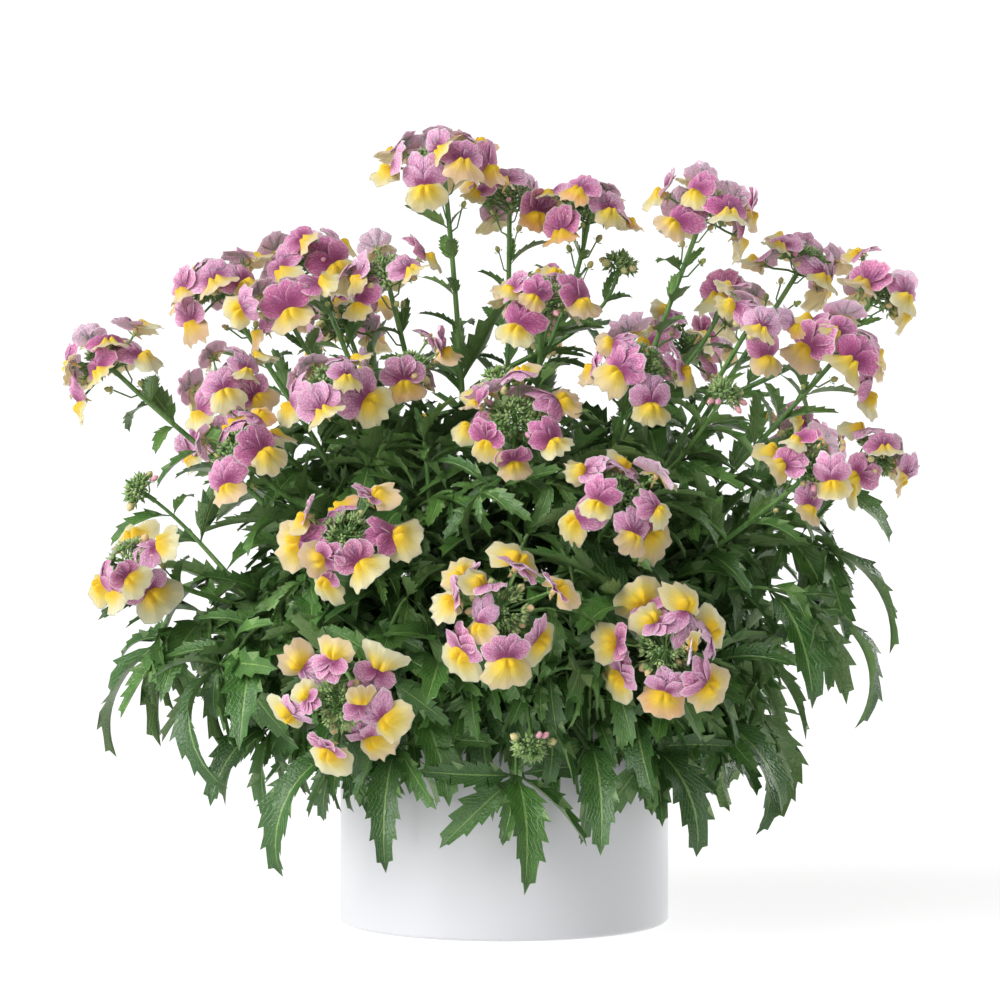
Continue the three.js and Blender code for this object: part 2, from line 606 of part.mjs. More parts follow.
const plant = new THREE.Group();
for (const [prefix, material] of [["leafy_stem", materials.leaf], ["flower_head", materials.petal]]) {
  const names = [...new Set(placed.map((p) => p.node).filter((n) => n.startsWith(prefix)))].sort();
  for (const name of names) {
    const fused = wasm.Manifold.union(placed.filter((p) => p.node === name).map((p) => p.solid));
    plant.add(meshOf(name, geometryOf(fused), material));
  }
}

const pottedNemesia = new THREE.Group();
pottedNemesia.add(meshOf("pot", potGeometry(), materials.pot));
pottedNemesia.add(meshOf("soil", geometryOf(soil), materials.soil));
pottedNemesia.add(plant);

export default pottedNemesia;
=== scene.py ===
"""A nemesia in bloom in a plain white cylindrical pot.

The plant's solids hold its stems, leaves and flowers by one rule of growth. This script repeats the rule,
finds in the solids which of its tries stands, and dresses each with a finer leaf, petal or bud.
Lengths are millimetres until a mesh is made, and the frame is the solids' own: +Z up, -Y to the viewer.
"""

from functools import partial
from math import asin, atan2, cos, degrees, exp, hypot, pi, radians, sin, sqrt, tau

import bmesh
import bpy
import numpy as np
from mathutils import Matrix, Quaternion, Vector
from mathutils.kdtree import KDTree


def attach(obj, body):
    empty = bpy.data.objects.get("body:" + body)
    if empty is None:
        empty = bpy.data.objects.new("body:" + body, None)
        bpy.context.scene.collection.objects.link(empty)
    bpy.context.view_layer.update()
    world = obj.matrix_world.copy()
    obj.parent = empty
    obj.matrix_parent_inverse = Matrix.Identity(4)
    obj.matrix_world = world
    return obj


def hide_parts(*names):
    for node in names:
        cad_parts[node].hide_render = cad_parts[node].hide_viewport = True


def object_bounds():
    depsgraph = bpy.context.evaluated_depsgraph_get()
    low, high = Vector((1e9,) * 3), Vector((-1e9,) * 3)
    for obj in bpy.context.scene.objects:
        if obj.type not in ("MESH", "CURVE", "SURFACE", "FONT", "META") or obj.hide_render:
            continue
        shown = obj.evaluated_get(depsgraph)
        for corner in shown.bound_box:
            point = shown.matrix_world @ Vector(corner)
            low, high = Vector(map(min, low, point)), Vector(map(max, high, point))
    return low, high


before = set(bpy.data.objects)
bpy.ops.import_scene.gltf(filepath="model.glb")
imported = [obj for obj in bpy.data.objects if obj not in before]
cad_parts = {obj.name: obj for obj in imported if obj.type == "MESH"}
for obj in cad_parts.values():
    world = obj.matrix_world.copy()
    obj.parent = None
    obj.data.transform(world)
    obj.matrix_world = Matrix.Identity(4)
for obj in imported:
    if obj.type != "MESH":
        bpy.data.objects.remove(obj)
solid_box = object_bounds()

MM = 0.001
UP = Vector((0, 0, 1))
RIGHT = Vector((1, 0, 0))
ALL_ROUND = Vector((1, 1, 1))
GOLDEN_TURN = 2.39996  # radians from one to the next, which spreads any number of them evenly

# Driving dimensions of the solids, in millimetres and degrees

POT = {"radius": 60, "height": 90, "wall": 3}
SOIL = {"top": 79, "crown": 3}
GAP = 0.3
HOLE_DEPTH = 6
STEM = {"sides": 4, "foot": 2.1, "top": 1.5, "rings": 5}
BRANCH = {"sides": 3, "foot": 1.8, "top": 1.4, "rings": 3}
SHOOT = {"sides": 3, "foot": 1.8, "top": 1.0, "rings": 3}
TWIG = {"sides": 3, "foot": 1.2, "top": 0.8, "rings": 2, "longest": 70, "starts": 16}
DOME = {"tries": 110, "middle": 104, "across": 98, "above": 90, "below": 26, "lowest": -42, "highest": 62,
        "depth": 0.3}
CORE = {"foot": 1.5, "height": 12.5}
FLOWER = {"ring": 13.5, "sunk": 1.5, "front": 0.7, "tries": 60}
LEAF = {"fold": 0.22, "aspect": 0.28, "tries": 12}
OVER_RIM = {"stem": 22, "tip": 14, "shoot": 12}  # the least height of curves' inner corners above the rim
CENTRE = Vector((0, 30, 60))
DROOPS = [15, 40, 65, 90, 115]
SAME = 0.06  # corners of the rule and of a solid that lie closer than this are one
HELD = 0.5  # a try stands where the solid has more than this share of its corners

FLOWER_RIM = [
    (5.8, -1.8, 0.8), (9.8, 3.6, -0.4), (5.6, 5.9, -0.6), (3.3, 10.6, -1.4), (0, 7.4, -0.8),
    (-3.3, 10.6, -1.4), (-5.6, 5.9, -0.6), (-9.8, 3.6, -0.4), (-5.8, -1.8, 0.8),
    (-8.2, -6.4, 6.0), (0, -8.4, 7.0), (8.2, -6.4, 6.0),
]
LEAF_EDGE = [(0.36, 1), (0.42, 0.76), (0.67, 0.74), (0.72, 0.5)]
YOUNG_EDGE = [(0.32, 1), (0.7, 0.62)]

# Each stem's heads, as the middle of the head, its open flowers and where its branch forks off the stem.
# Then the shoots that end in buds alone, and the tips of the leafy shoots that trail over the rim.
STEMS = [
    {"heads": [((-23, 2, 283), 7, 0), ((-35, -26, 208), 2, 0.5)]},
    {"heads": [((2, 28, 268), 4, 0), ((32, 16, 264), 4, 0.6)], "budding": [((44, 26, 246), 0.7)]},
    {"heads": [((75, 2, 265), 6, 0), ((83, 28, 229), 2, 0.6)], "trailing": [(80, -22, 68)]},
    {"heads": [((113, 30, 244), 5, 0), ((140, 18, 232), 3, 0.7)], "trailing": [(90, 42, 74)]},
    {"heads": [((126, -18, 214), 6, 0)], "trailing": [(114, -16, 138)]},
    {"heads": [((113, -60, 172), 5, 0), ((138, -18, 174), 3, 0.5)], "trailing": [(110, -46, 118)]},
    {"heads": [((91, -40, 225), 3, 0)], "budding": [((82, -50, 201), 0.6)], "trailing": [(74, -46, 78)]},
    {"heads": [((50, -50, 210), 6, 0), ((42, -88, 164), 6, 0.4)], "trailing": [(30, -76, 74)]},
    {"heads": [((60, -106, 112), 7, 0)], "trailing": [(52, -62, 70)]},
    {"heads": [((4, -70, 192), 7, 0), ((-2, -122, 126), 7, 0.3)], "budding": [((10, -106, 80), 0.2)],
     "trailing": [(4, -78, 62)]},
    {"heads": [((15, -34, 233), 4, 0)], "budding": [((-2, -46, 206), 0.6)]},
    {"heads": [((-58, -96, 150), 6, 0), ((-60, -110, 96), 7, 0.25)], "trailing": [(-38, -74, 72)]},
    {"heads": [((-64, -54, 202), 5, 0), ((-97, -62, 178), 5, 0.5)], "trailing": [(-60, -62, 68)]},
    {"heads": [((-44, -10, 241), 5, 0), ((-82, -22, 230), 3, 0.55)]},
    {"heads": [((-74, 26, 246), 5, 0)], "trailing": [(-84, -30, 74)]},
    {"heads": [((-108, 18, 236), 6, 0), ((-104, -26, 200), 5, 0.5)]},
    {"heads": [((-150, 10, 208), 6, 0)], "trailing": [(-122, -12, 104)]},
    {"heads": [((-140, -36, 136), 4, 0)], "budding": [((-139, 0, 162), 0.6)], "trailing": [(-102, -46, 98)]},
    {"heads": [((-62, 66, 222), 5, 0), ((-108, 70, 178), 5, 0.45)], "trailing": [(-80, 50, 72)]},
    {"heads": [((16, 76, 228), 5, 0), ((-42, 112, 166), 5, 0.4), ((0, 124, 112), 5, 0.25)],
     "trailing": [(-18, 92, 64)]},
    {"heads": [((70, 68, 212), 5, 0), ((44, 114, 160), 5, 0.4), ((116, 76, 172), 5, 0.45)],
     "trailing": [(44, 84, 62)]},
]
BENDS = [(0.1, 0), (0.04, 0.06), (0.04, -0.06), (0.16, 0.1), (0.16, -0.1), (0, 0.14), (0, -0.14),
         (0.22, 0.18), (0.22, -0.18)]
FORK_SHIFTS = [0, -0.08, 0.08, -0.16, 0.16]
TIP_TURNS = [0, 6, -6, 12, -12, 18, -18]
TRAIL_FORKS = [0.2, 0.3, 0.12]
ON_STEM = {"from": 0.3, "to": 0.62, "pairs": 2, "per_pair": 2, "length": 56, "taper": 0.3}
ON_BRANCH = {"from": 0.5, "to": 0.5, "pairs": 1, "per_pair": 1, "length": 40, "taper": 0}
ON_SHOOT = {"from": 0.72, "to": 0.72, "pairs": 1, "per_pair": 2, "length": 50, "taper": 0, "ahead": True,
            "low": True}
ON_TWIG = {"from": 0.6, "to": 0.6, "pairs": 1, "per_pair": 2, "length": 42, "taper": 0, "ahead": True,
           "young": True}

# Small tools


def chance(a, b):
    """The same draw from 0 to 1 for the same two whole numbers."""
    h = (a * 374761393 + b * 668265263) & 0xFFFFFFFF
    h = ((h ^ (h >> 13)) * 1274126177) & 0xFFFFFFFF
    return (h ^ (h >> 16)) / 4294967296


def spread(a, b, size):
    return (chance(a, b) * 2 - 1) * size


def jitter(seed, draw, size):
    """A small random way in space, from three draws in a row."""
    return Vector([spread(seed, draw + k, size) for k in range(3)])


def between(low, high, share):
    return low + (high - low) * share


def within(value):
    """The value, kept from 0 to 1."""
    return min(1, max(0, value))


def compass(turn, reach, height=0):
    """A point at a turn and a reach round the pot's axis."""
    return Vector((cos(turn) * reach, sin(turn) * reach, height))


def around(centre, axis, side, turn, reach):
    """A point at a turn and a reach round any axis."""
    s = (side - axis * side.dot(axis)).normalized()
    return centre + s * (cos(turn) * reach) + axis.cross(s) * (sin(turn) * reach)


def off(axis, turn):
    """The way straight out from an axis, at a turn round it."""
    return around(Vector(), axis, Vector((axis.y, -axis.x, 0.01)).normalized(), turn, 1)


def rolled(angle, axis):
    return Matrix.Rotation(radians(angle), 3, axis)


def turned(heading, rise, roll):
    """The turn of a leaf that leaves along +X, from its heading, its rise and its roll in degrees."""
    return rolled(heading, "Z") @ rolled(-rise, "Y") @ rolled(roll, "X")


def turn_onto(x_axis, y_axis, z_axis):
    return Matrix((x_axis, y_axis, z_axis)).transposed()


def facing(axis, near):
    """A turn that puts +Z along an axis, and +Y as near as can be to a direction."""
    y_axis = (near - axis * near.dot(axis)).normalized()
    return turn_onto(y_axis.cross(axis), y_axis, axis)


class Path:
    """A cubic curve in space with the form of the stalk that follows it."""

    def __init__(self, corners, form):
        self.corners = corners
        self.form = form

    def at(self, t):
        a, b, c, d = self.corners
        u = 1 - t
        return a * u**3 + b * (3 * u * u * t) + c * (3 * u * t * t) + d * t**3

    def tangent(self, t):
        a, b, c, d = self.corners
        u = 1 - t
        return ((b - a) * (u * u) + (c - b) * (2 * u * t) + (d - c) * (t * t)).normalized()

    def on(self, t):
        """A point on the straight stretches between the solid stalk's rings."""
        rings = self.form["rings"]
        k = min(int(t * rings), rings - 1)
        return self.at(k / rings).lerp(self.at((k + 1) / rings), t * rings - k)

    def reach(self, t):
        return between(self.form["foot"], self.form["top"], t)

    def line(self, count, slim=1):
        """Points along the curve, each with the stalk's thickness there."""
        return [(self.at(k / count), self.reach(k / count) * slim) for k in range(count + 1)]

    def ring_corners(self):
        """The corners of the solid stalk's inner rings."""
        a, b = self.at(0), self.at(1)
        side = Vector((a.y - b.y, b.x - a.x, 0)).normalized()
        rings, sides = self.form["rings"], self.form["sides"]
        places = [k / rings for k in range(1, rings)]
        return [around(self.at(t), self.tangent(t), side, i * tau / sides, self.reach(t))
                for t in places for i in range(sides)]


class Corners:
    """The corners of one solid, to tell which of the rule's tries it holds."""

    def __init__(self, node):
        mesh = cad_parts[node].data
        self.tree = KDTree(len(mesh.vertices))
        for vertex in mesh.vertices:
            self.tree.insert(vertex.co / MM, vertex.index)
        self.tree.balance()

    def holds(self, points):
        return sum(self.tree.find(p)[2] < SAME for p in points) > HELD * len(points)


# The rule of growth


def foot_of(stem, number):
    """Where a stem leaves the potting mix: on its first head's side, and further out for an outer one."""
    x, y, _ = stem["heads"][0][0]
    reach = 6 + 0.26 * hypot(x, y) + spread(number, 2, 2)
    return compass(atan2(y, x) + spread(number, 1, 0.12), reach, SOIL["top"] - HOLE_DEPTH + GAP)


def path_to(start, at, bend, lean, form):
    """A stalk that rises to the foot of a head or a bud cluster, and ends along its axis."""
    rise, sway = bend
    axis = (Vector(at) - CENTRE).normalized()
    end = Vector(at) - axis * CORE["height"]
    length = (end - start).length
    aside = Vector((start.y - end.y, end.x - start.x, 0)).normalized()
    first = start.lerp(end, lean)
    second = end + axis * ((rise - 0.45) * length) + aside * (sway * length)
    first.z = max(start.z + (0.3 + rise - lean) * length, POT["height"] + OVER_RIM["stem"])
    second.z = max(second.z, POT["height"] + OVER_RIM["tip"])
    return Path((start, first, second, end), form)


def trail_to(start, end):
    """A shoot that rises over the pot's rim and hangs to its tip."""
    first = start.lerp(end, 0.35)
    second = start.lerp(end, 0.85)
    first.z = second.z = max(start.z, end.z, POT["height"]) + OVER_RIM["shoot"]
    return Path((start, first, second, end), SHOOT)


def twig_to(start, tip):
    """A short side shoot, arched a little, that passes over the pot's rim where it ends outside it."""
    arch = 0.14 * (tip - start).length
    ends_outside = hypot(tip.x, tip.y) > POT["radius"] - 8
    lowest = POT["height"] + OVER_RIM["shoot"] if ends_outside else 0
    first = start.lerp(tip, 0.35)
    second = start.lerp(tip, 0.8)
    first.z = max(first.z + arch, lowest)
    second.z = max(second.z + arch, lowest)
    return Path((start, first, second, tip), TWIG)


def tip_of(number, count, wider=1):
    """The end of one of the twigs all over the dome of foliage."""
    rise = radians(between(DOME["lowest"], DOME["highest"], ((number + 0.5) / count) ** 1.2))
    share = (1 - DOME["depth"] * chance(number, 8)) * wider
    tall = DOME["above" if rise > 0 else "below"] * sin(rise) * share
    return compass(number * GOLDEN_TURN, DOME["across"] * cos(rise) * share, DOME["middle"] + tall)


def starts_for(tip, places):
    """The places on stalks that a twig may spring from: near its tip, and rather below it than above."""
    near = [place for place in places if (place[0] - tip).length < TWIG["longest"]]
    near.sort(key=lambda place: (place[0] - tip).length + 1.5 * max(0, place[0].z - tip.z + 8))
    return near[:TWIG["starts"]]


def main_ways(stem, number):
    start = foot_of(stem, number)
    return [path_to(start, stem["heads"][0][0], bend, 0.03, STEM) for bend in BENDS]


def branch_ways(main, at, fork, form):
    return [path_to(main.on(fork + shift), at, bend, 0.28, form) for shift in FORK_SHIFTS for bend in BENDS]


def trail_ways(main, at):
    return [trail_to(main.on(fork), rolled(turn, "Z") @ Vector(at))
            for turn in TIP_TURNS for fork in TRAIL_FORKS]


def standing(corners, ways):
    """The way that the solid holds."""
    for path in ways:
        if corners.holds(path.ring_corners()):
            return path
    raise RuntimeError("no way of growing a stalk fits its solid")


def leaf_slots(path, rule, seed):
    """A stalk's leaves: one at its tip if the rule says so, and pairs, each across the last."""
    slots = []
    start, end = path.at(0), path.at(1)
    forward = degrees(atan2(end.y - start.y, end.x - start.x))
    ahead, low, young = (rule.get(word, False) for word in ("ahead", "low", "young"))

    def slot(t, heading, share, place):
        own = seed * 32 + place
        slots.append({"from": path.on(t), "heading": heading, "low": low, "young": young, "seed": own,
                      "length": rule["length"] * share * (0.86 + 0.28 * chance(own, 9))})

    if ahead:
        slot(1, forward, 1, 30)
    for k in reversed(range(rule["pairs"])):
        upward = 0 if rule["pairs"] == 1 else k / (rule["pairs"] - 1)
        turn = forward + 45 + k * 90
        pair = [forward + 52, forward - 52] if ahead else [turn, turn + 180][:rule["per_pair"]]
        for side, heading in enumerate(pair):
            slot(between(rule["from"], rule["to"], upward), heading, 1 - rule["taper"] * upward, k * 2 + side)
    return slots


def leaf_try(slot, number):
    seed = slot["seed"] * 16 + number
    foot = slot["from"]
    outward = cos(radians(slot["heading"]) - atan2(foot.y, foot.x))
    base = 2 if slot["low"] else (1 if outward > 0 else 0)
    heading = slot["heading"] + spread(seed, 4, 10 + 8 * number)
    rise = (-4 if slot["low"] else 34) - 16 * outward + spread(seed, 5, 12 + 3 * number)
    return {"from": foot, "turn": turned(heading, rise, spread(seed, 6, 26)),
            "length": slot["length"] * (1 - 0.05 * number),
            "width": slot["length"] * LEAF["aspect"] * (0.88 + 0.3 * chance(seed, 7)),
            "drop": min(int(chance(seed, 3) * 2.99) + base, len(DROOPS) - 1),
            "seed": seed, "young": slot["young"]}


def leaf_point(leaf, s, across=0, lift=0):
    """A point of a leaf, at a share of its length, off its rib and above it."""
    bend = radians(DROOPS[leaf["drop"]])
    turn = bend * s
    x = sin(turn) / bend * leaf["length"] + sin(turn) * lift
    z = (cos(turn) - 1) / bend * leaf["length"] + cos(turn) * lift
    return leaf["from"] + leaf["turn"] @ Vector((x, across, z))


def leaf_corners(leaf):
    half = leaf["width"] / 2
    edge = YOUNG_EDGE if leaf["young"] else LEAF_EDGE
    return [leaf_point(leaf, 1)] + [
        leaf_point(leaf, s, hand * w * half, w * half * LEAF["fold"]) for hand in (1, -1) for s, w in edge]


def flower_of(head, seed, out, tilt, roll, root, throat, size):
    """A flower that looks out from its head, tilted up and rolled by angles in degrees. Its stalk's root and
    its throat are given by how far up the head's axis and how far out from it they lie."""
    axis, tilt = head["axis"], radians(tilt)
    root, throat = (head["foot"] + axis * height + out * reach for height, reach in (root, throat))
    face = out * cos(tilt) + axis * sin(tilt)
    up = Quaternion(face, radians(roll)) @ (axis * cos(tilt) - out * sin(tilt))
    return {"head": head, "seed": seed, "root": root, "throat": throat, "face": face, "up": up,
            "across": up.cross(face), "size": size}


def flower_try(head, number, try_number):
    seed = (head["seed"] * 16 + number) * 80 + try_number
    count, outer = head["flowers"], number % 2
    loose = min(1, try_number / 20)
    turn = ((number + spread(seed, 11, 0.1 + 0.5 * loose)) / count) * tau + head["seed"]
    reach = FLOWER["ring"] * sqrt(count / 5) + spread(seed, 12, 1 + 3.5 * loose)
    height = (2 if outer else 9) + spread(seed, 13, 1.5 + 5 * loose)
    tilt = (4 if outer else 22) + 20 * (1 - head["axis"].z) + spread(seed, 14, 8 + 22 * loose)
    size = (0.9 + 0.2 * chance(seed, 16)) * (1 - 0.15 * loose)
    root = (3.5 if outer else 7, -FLOWER["sunk"])
    out, roll = off(head["axis"], turn), spread(seed, 15, 16)
    return flower_of(head, seed, out, tilt, roll, root, (height, reach), size)


def flower_corners(flower):
    rim = [flower["throat"] + (flower["across"] * x + flower["up"] * y + flower["face"] * z) * flower["size"]
           for x, y, z in FLOWER_RIM]
    return rim + [flower["throat"] + flower["face"] * FLOWER["front"]]


def grow():
    """Everything that the solids hold of the plant."""
    stalks, heads, budding, flowers, leaves = [], [], [], [], []
    solids = {name: Corners(name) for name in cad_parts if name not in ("pot", "soil")}

    def add_stalk(node, path, rule=None, seed=0):
        stalks.append({"path": path, "node": node, "trails": rule is ON_SHOOT})
        for slot in leaf_slots(path, rule, seed) if rule else []:
            tries = (leaf_try(slot, n) for n in range(LEAF["tries"]))
            leaves.extend([leaf for leaf in tries if solids[node].holds(leaf_corners(leaf))][:1])
        return path

    def add_head(path, into, node, count, raised, seed):
        axis = path.tangent(1)
        into.append({"foot": path.at(1) + axis * raised, "axis": axis, "flowers": count, "seed": seed,
                     "node": node})

    for i, stem in enumerate(STEMS):
        node = f"leafy_stem_{i + 1:02}"
        corners = solids[node]
        main = add_stalk(node, standing(corners, main_ways(stem, i)), ON_STEM, i * 8 + 1)
        for k, (at, count, fork) in enumerate(stem["heads"]):
            path = main
            if k > 0:
                ways = branch_ways(main, at, fork, BRANCH)
                path = add_stalk(node, standing(corners, ways), ON_BRANCH, i * 8 + 1 + k)
            number = len(heads) + 1
            add_head(path, heads, f"flower_head_{number:02}", count, GAP, number)
        for at, fork in stem.get("budding", []):
            path = add_stalk(node, standing(corners, branch_ways(main, at, fork, SHOOT)))
            add_head(path, budding, node, 0, -CORE["foot"], 100 + len(budding))
        for k, at in enumerate(stem.get("trailing", [])):
            add_stalk(node, standing(corners, trail_ways(main, at)), ON_SHOOT, i * 8 + 5 + k)
    for head in heads:
        for k in range(head["flowers"]):
            tries = (flower_try(head, k, n) for n in range(FLOWER["tries"]))
            flowers.extend([f for f in tries if solids[head["node"]].holds(flower_corners(f))][:1])
    places = [(stalk["path"].on(0.08 + 0.08 * k), stalk["node"]) for stalk in stalks for k in range(10)]
    for number in range(DOME["tries"]):
        tip = tip_of(number, DOME["tries"])
        for start, node in starts_for(tip, places):
            path = twig_to(start, tip)
            if solids[node].holds(path.ring_corners()):
                add_stalk(node, path, ON_TWIG, 200 + number)
                break
    return stalks, heads, budding, flowers, leaves


stalks, heads, budding, flowers, leaves = grow()
cores = heads + budding
low_corner, high_corner = (Vector(corner) / MM for corner in solid_box)

# Flowers that only the looks have

LOW = 150  # heads whose foot is lower than this are low and older
# How often a head tries for one, and for high and low heads: the most that one has, the least distance
# between throats, and how far out from the head's axis the places for theirs start
LATER = {"tries": 60, "high": (3, 11.2, 10), "low": (2, 8.7, 8)}
SCATTER = 1.6  # how far a flower may lie from where the rule has it


def is_low(head):
    return head["foot"].z < LOW


def in_box(p):
    return all(low_corner[k] < p[k] < high_corner[k] for k in range(3))


def later_flowers():
    """The flowers that opened last, above the others and a little smaller, where a head has room for them."""
    added = []
    for head in heads:
        most, apart, reach = LATER["low" if is_low(head) else "high"]
        count = 0
        for n in range(LATER["tries"]):
            seed = 90000 + head["seed"] * 64 + n
            throat = (9 + 6 * chance(seed, 124), reach + 4.5 * chance(seed, 125))
            out = off(head["axis"], chance(seed, 121) * tau)
            tilt, roll = 8 + 34 * chance(seed, 122), spread(seed, 123, 50)
            size = 0.74 + 0.14 * chance(seed, 126)
            later = flower_of(head, seed, out, tilt, roll, (9, 0), throat, size)
            room = all((later["throat"] - f["throat"]).length > apart for f in flowers + added)
            if room and in_box(later["throat"] + later["up"] * 8):
                added.append(later)
                count += 1
            if count == most:
                break
    return added


flowers += later_flowers()
for flower in flowers:
    flower["throat"] += jitter(flower["seed"], 127, SCATTER)

# Leaves that only the looks have, on the stalks and on fine leafy twigs between them

# The leaves on stalks: how far apart their pairs are, where the first is, how much of the stalk they take,
# their length and opening at the plant's foot and at its top, how high that is above the mix, and how often
# a leaf is tried
FILL = {"gap": 12, "from": 0.12, "along": 0.82, "long": (39, 19), "opening": (66, 30), "tall": 130,
        "tries": 3}
# How far leaves keep from flowers' throats, from heads' middles, and from the pot: over its rim and the mix,
# outside its wall and inside it
CLEAR = {"throat": 8.5, "middle": 12, "rim": 3, "mix": 2, "outside": 2.5, "inside": 5}
# The tuft at the end of a trailing shoot: pairs as their place on it, their opening and their length
TUFT = ((0.85, 72, 29), (1, 62, 26), (1, 30, 20))
# The larger leaves round it, which turn their faces outwards, by their angle from straight down
FAN = {"angles": (-88, -52, -20, 42, 80), "long": 32}
# The twigs of the dome, a little wider than the solids' own, and of the skirt that hangs over the rim: how
# many, the length of their leaves, and where their tips are. Then the pairs of leaves on each, as their place
# on it, their opening and their share of that length
FINE = {"twigs": 196, "wider": 1.06, "long": 35, "tall": 110}
SKIRT = {"twigs": 40, "reach": (65, 80), "height": (66, 90), "long": 27, "hang": 0.3}
TWIG_PAIRS = ((0.4, 66, 1), (0.7, 62, 0.95), (1, 54, 0.8), (1, 28, 0.62))
MIDDLE_DEPTH = 40  # flowers further from the viewer than this may be hidden by leaves

throats = KDTree(len(flowers))
for number, flower in enumerate(flowers):
    throats.insert(flower["throat"], number)
throats.balance()


def hides(p, spot, clear):
    """Whether a leaf's point would lie before a spot, as the front view has it."""
    return p.y < spot.y < MIDDLE_DEPTH and hypot(p.x - spot.x, p.z - spot.z) < clear


def in_the_way(p):
    """Whether a leaf's point would lie in the pot's wall, in or before a flower, or outside the box."""
    reach = hypot(p.x, p.y)
    over_mix = p.z > SOIL["top"] + CLEAR["mix"] and reach < POT["radius"] - POT["wall"] - CLEAR["inside"]
    if p.z < POT["height"] + CLEAR["rim"] and reach < POT["radius"] + CLEAR["outside"] and not over_mix:
        return True
    if not in_box(p) or throats.find(p)[2] < CLEAR["throat"]:
        return True
    middles = (core["foot"] + core["axis"] * CORE["height"] for core in cores)
    return any((p - m).length < CLEAR["middle"] or hides(p, m, CLEAR["middle"]) for m in middles) \
        or any(hides(p, f["throat"], CLEAR["throat"]) for f in flowers)


def fitting_leaf(foot, way, face, long, drop, seed):
    """A leaf that keeps clear of the pot and the flowers, made shorter where it must be, or none."""
    for n in range(FILL["tries"]):
        own = seed * 4 + n
        x_axis = (way + jitter(own, 21, 0.42)).normalized()
        z_axis = (face - x_axis * face.dot(x_axis)).normalized()
        length = long * (0.72 + 0.5 * chance(own, 24)) * (1 - 0.2 * n)
        roll = rolled(spread(own, 25, 40), "X")
        leaf = {"from": foot, "turn": turn_onto(x_axis, z_axis.cross(x_axis), z_axis) @ roll,
                "length": length, "drop": drop, "seed": own,
                "width": length * LEAF["aspect"] * (0.8 + 0.45 * chance(own, 26))}
        if not any(in_the_way(leaf_point(leaf, s)) for s in (0.3, 0.55, 0.8, 1)):
            return [leaf]
    return []


def leaf_pair(path, t, opening, number, long, low, seed):
    """Two leaves across from each other, with their upper faces up. Low ones hang, and bend down further."""
    along, added = path.tangent(t), []
    for side in (0, 1):
        own = seed * 2 + side
        out = off(along, radians(45 + 90 * number + 180 * side))
        angle = radians(opening + spread(own, 27, 10))
        way = along * cos(angle) + out * sin(angle) - UP * (0.3 * low)
        drop = min(len(DROOPS) - 1, int(chance(own, 28) * 2.99 + 0.9 * low))
        added += fitting_leaf(path.at(t), way, along * 0.6 + UP, long, drop, own)
    return added


def leaves_on_stalks():
    """Pairs of leaves all along each stalk, each pair across the last and smaller towards the top."""
    added = []
    for number, stalk in enumerate(stalks):
        path = stalk["path"]
        points = [path.at(k / 12) for k in range(13)]
        length = sum((q - p).length for p, q in zip(points, points[1:]))
        count = max(2, int(length * FILL["along"] / FILL["gap"]))
        for k in range(count):
            t = FILL["from"] + FILL["along"] * (k + 0.5) / count
            high = within((path.at(t).z - SOIL["top"]) / FILL["tall"])
            long, opening = between(*FILL["long"], high), between(*FILL["opening"], high)
            added += leaf_pair(path, t, opening, k, long, 1 - high, 25000 + number * 40 + k)
        if stalk["trails"]:
            for k, (t, opening, long) in enumerate(TUFT):
                added += leaf_pair(path, t, opening, k, long, 0.3, 29000 + number * 3 + k)
            tip = path.at(1)
            outward = Vector((tip.x, tip.y, 0)).normalized()
            for k, angle in enumerate(FAN["angles"]):
                own, turn = 29500 + number * 5 + k, radians(angle)
                way = UP.cross(outward) * sin(turn) - UP * cos(turn) + outward * 0.35
                drop = int(chance(own, 29) * 1.99)
                added += fitting_leaf(tip, way, outward + UP * 0.6, FAN["long"], drop, own)
    return added


def twig_tips():
    """The tips of the fine twigs, each with its kind."""
    tips = [(tip_of(number, FINE["twigs"], FINE["wider"]), FINE) for number in range(FINE["twigs"])]
    for number in range(SKIRT["twigs"]):
        reach = between(*SKIRT["reach"], chance(number, 131))
        height = between(*SKIRT["height"], chance(number, 132))
        tips.append((compass(number * GOLDEN_TURN, reach, height), SKIRT))
    return tips


def grow_twigs():
    """Fine leafy twigs to tips all over the dome of foliage, each with a tuft of young leaves at its end."""
    places = [(stalk["path"].at(k / 14), stalk["path"]) for stalk in stalks for k in range(1, 14)]
    twigs, added = [], []
    for number, (tip, kind) in enumerate(twig_tips()):
        starts = starts_for(tip, places)
        if not starts or in_the_way(tip):
            continue
        path = twig_to(starts[0][0], tip)
        twigs.append(path)
        high = within((tip.z - SOIL["top"]) / FINE["tall"])
        hang = kind.get("hang", 1 - high)
        for k, (t, opening, share) in enumerate(TWIG_PAIRS):
            long = kind["long"] * share * (1 - 0.3 * high)
            added += leaf_pair(path, t, opening, k, long, hang, 30000 + number * 4 + k)
    return twigs, added


# Shapes that repeat, each a small closed mesh, made once


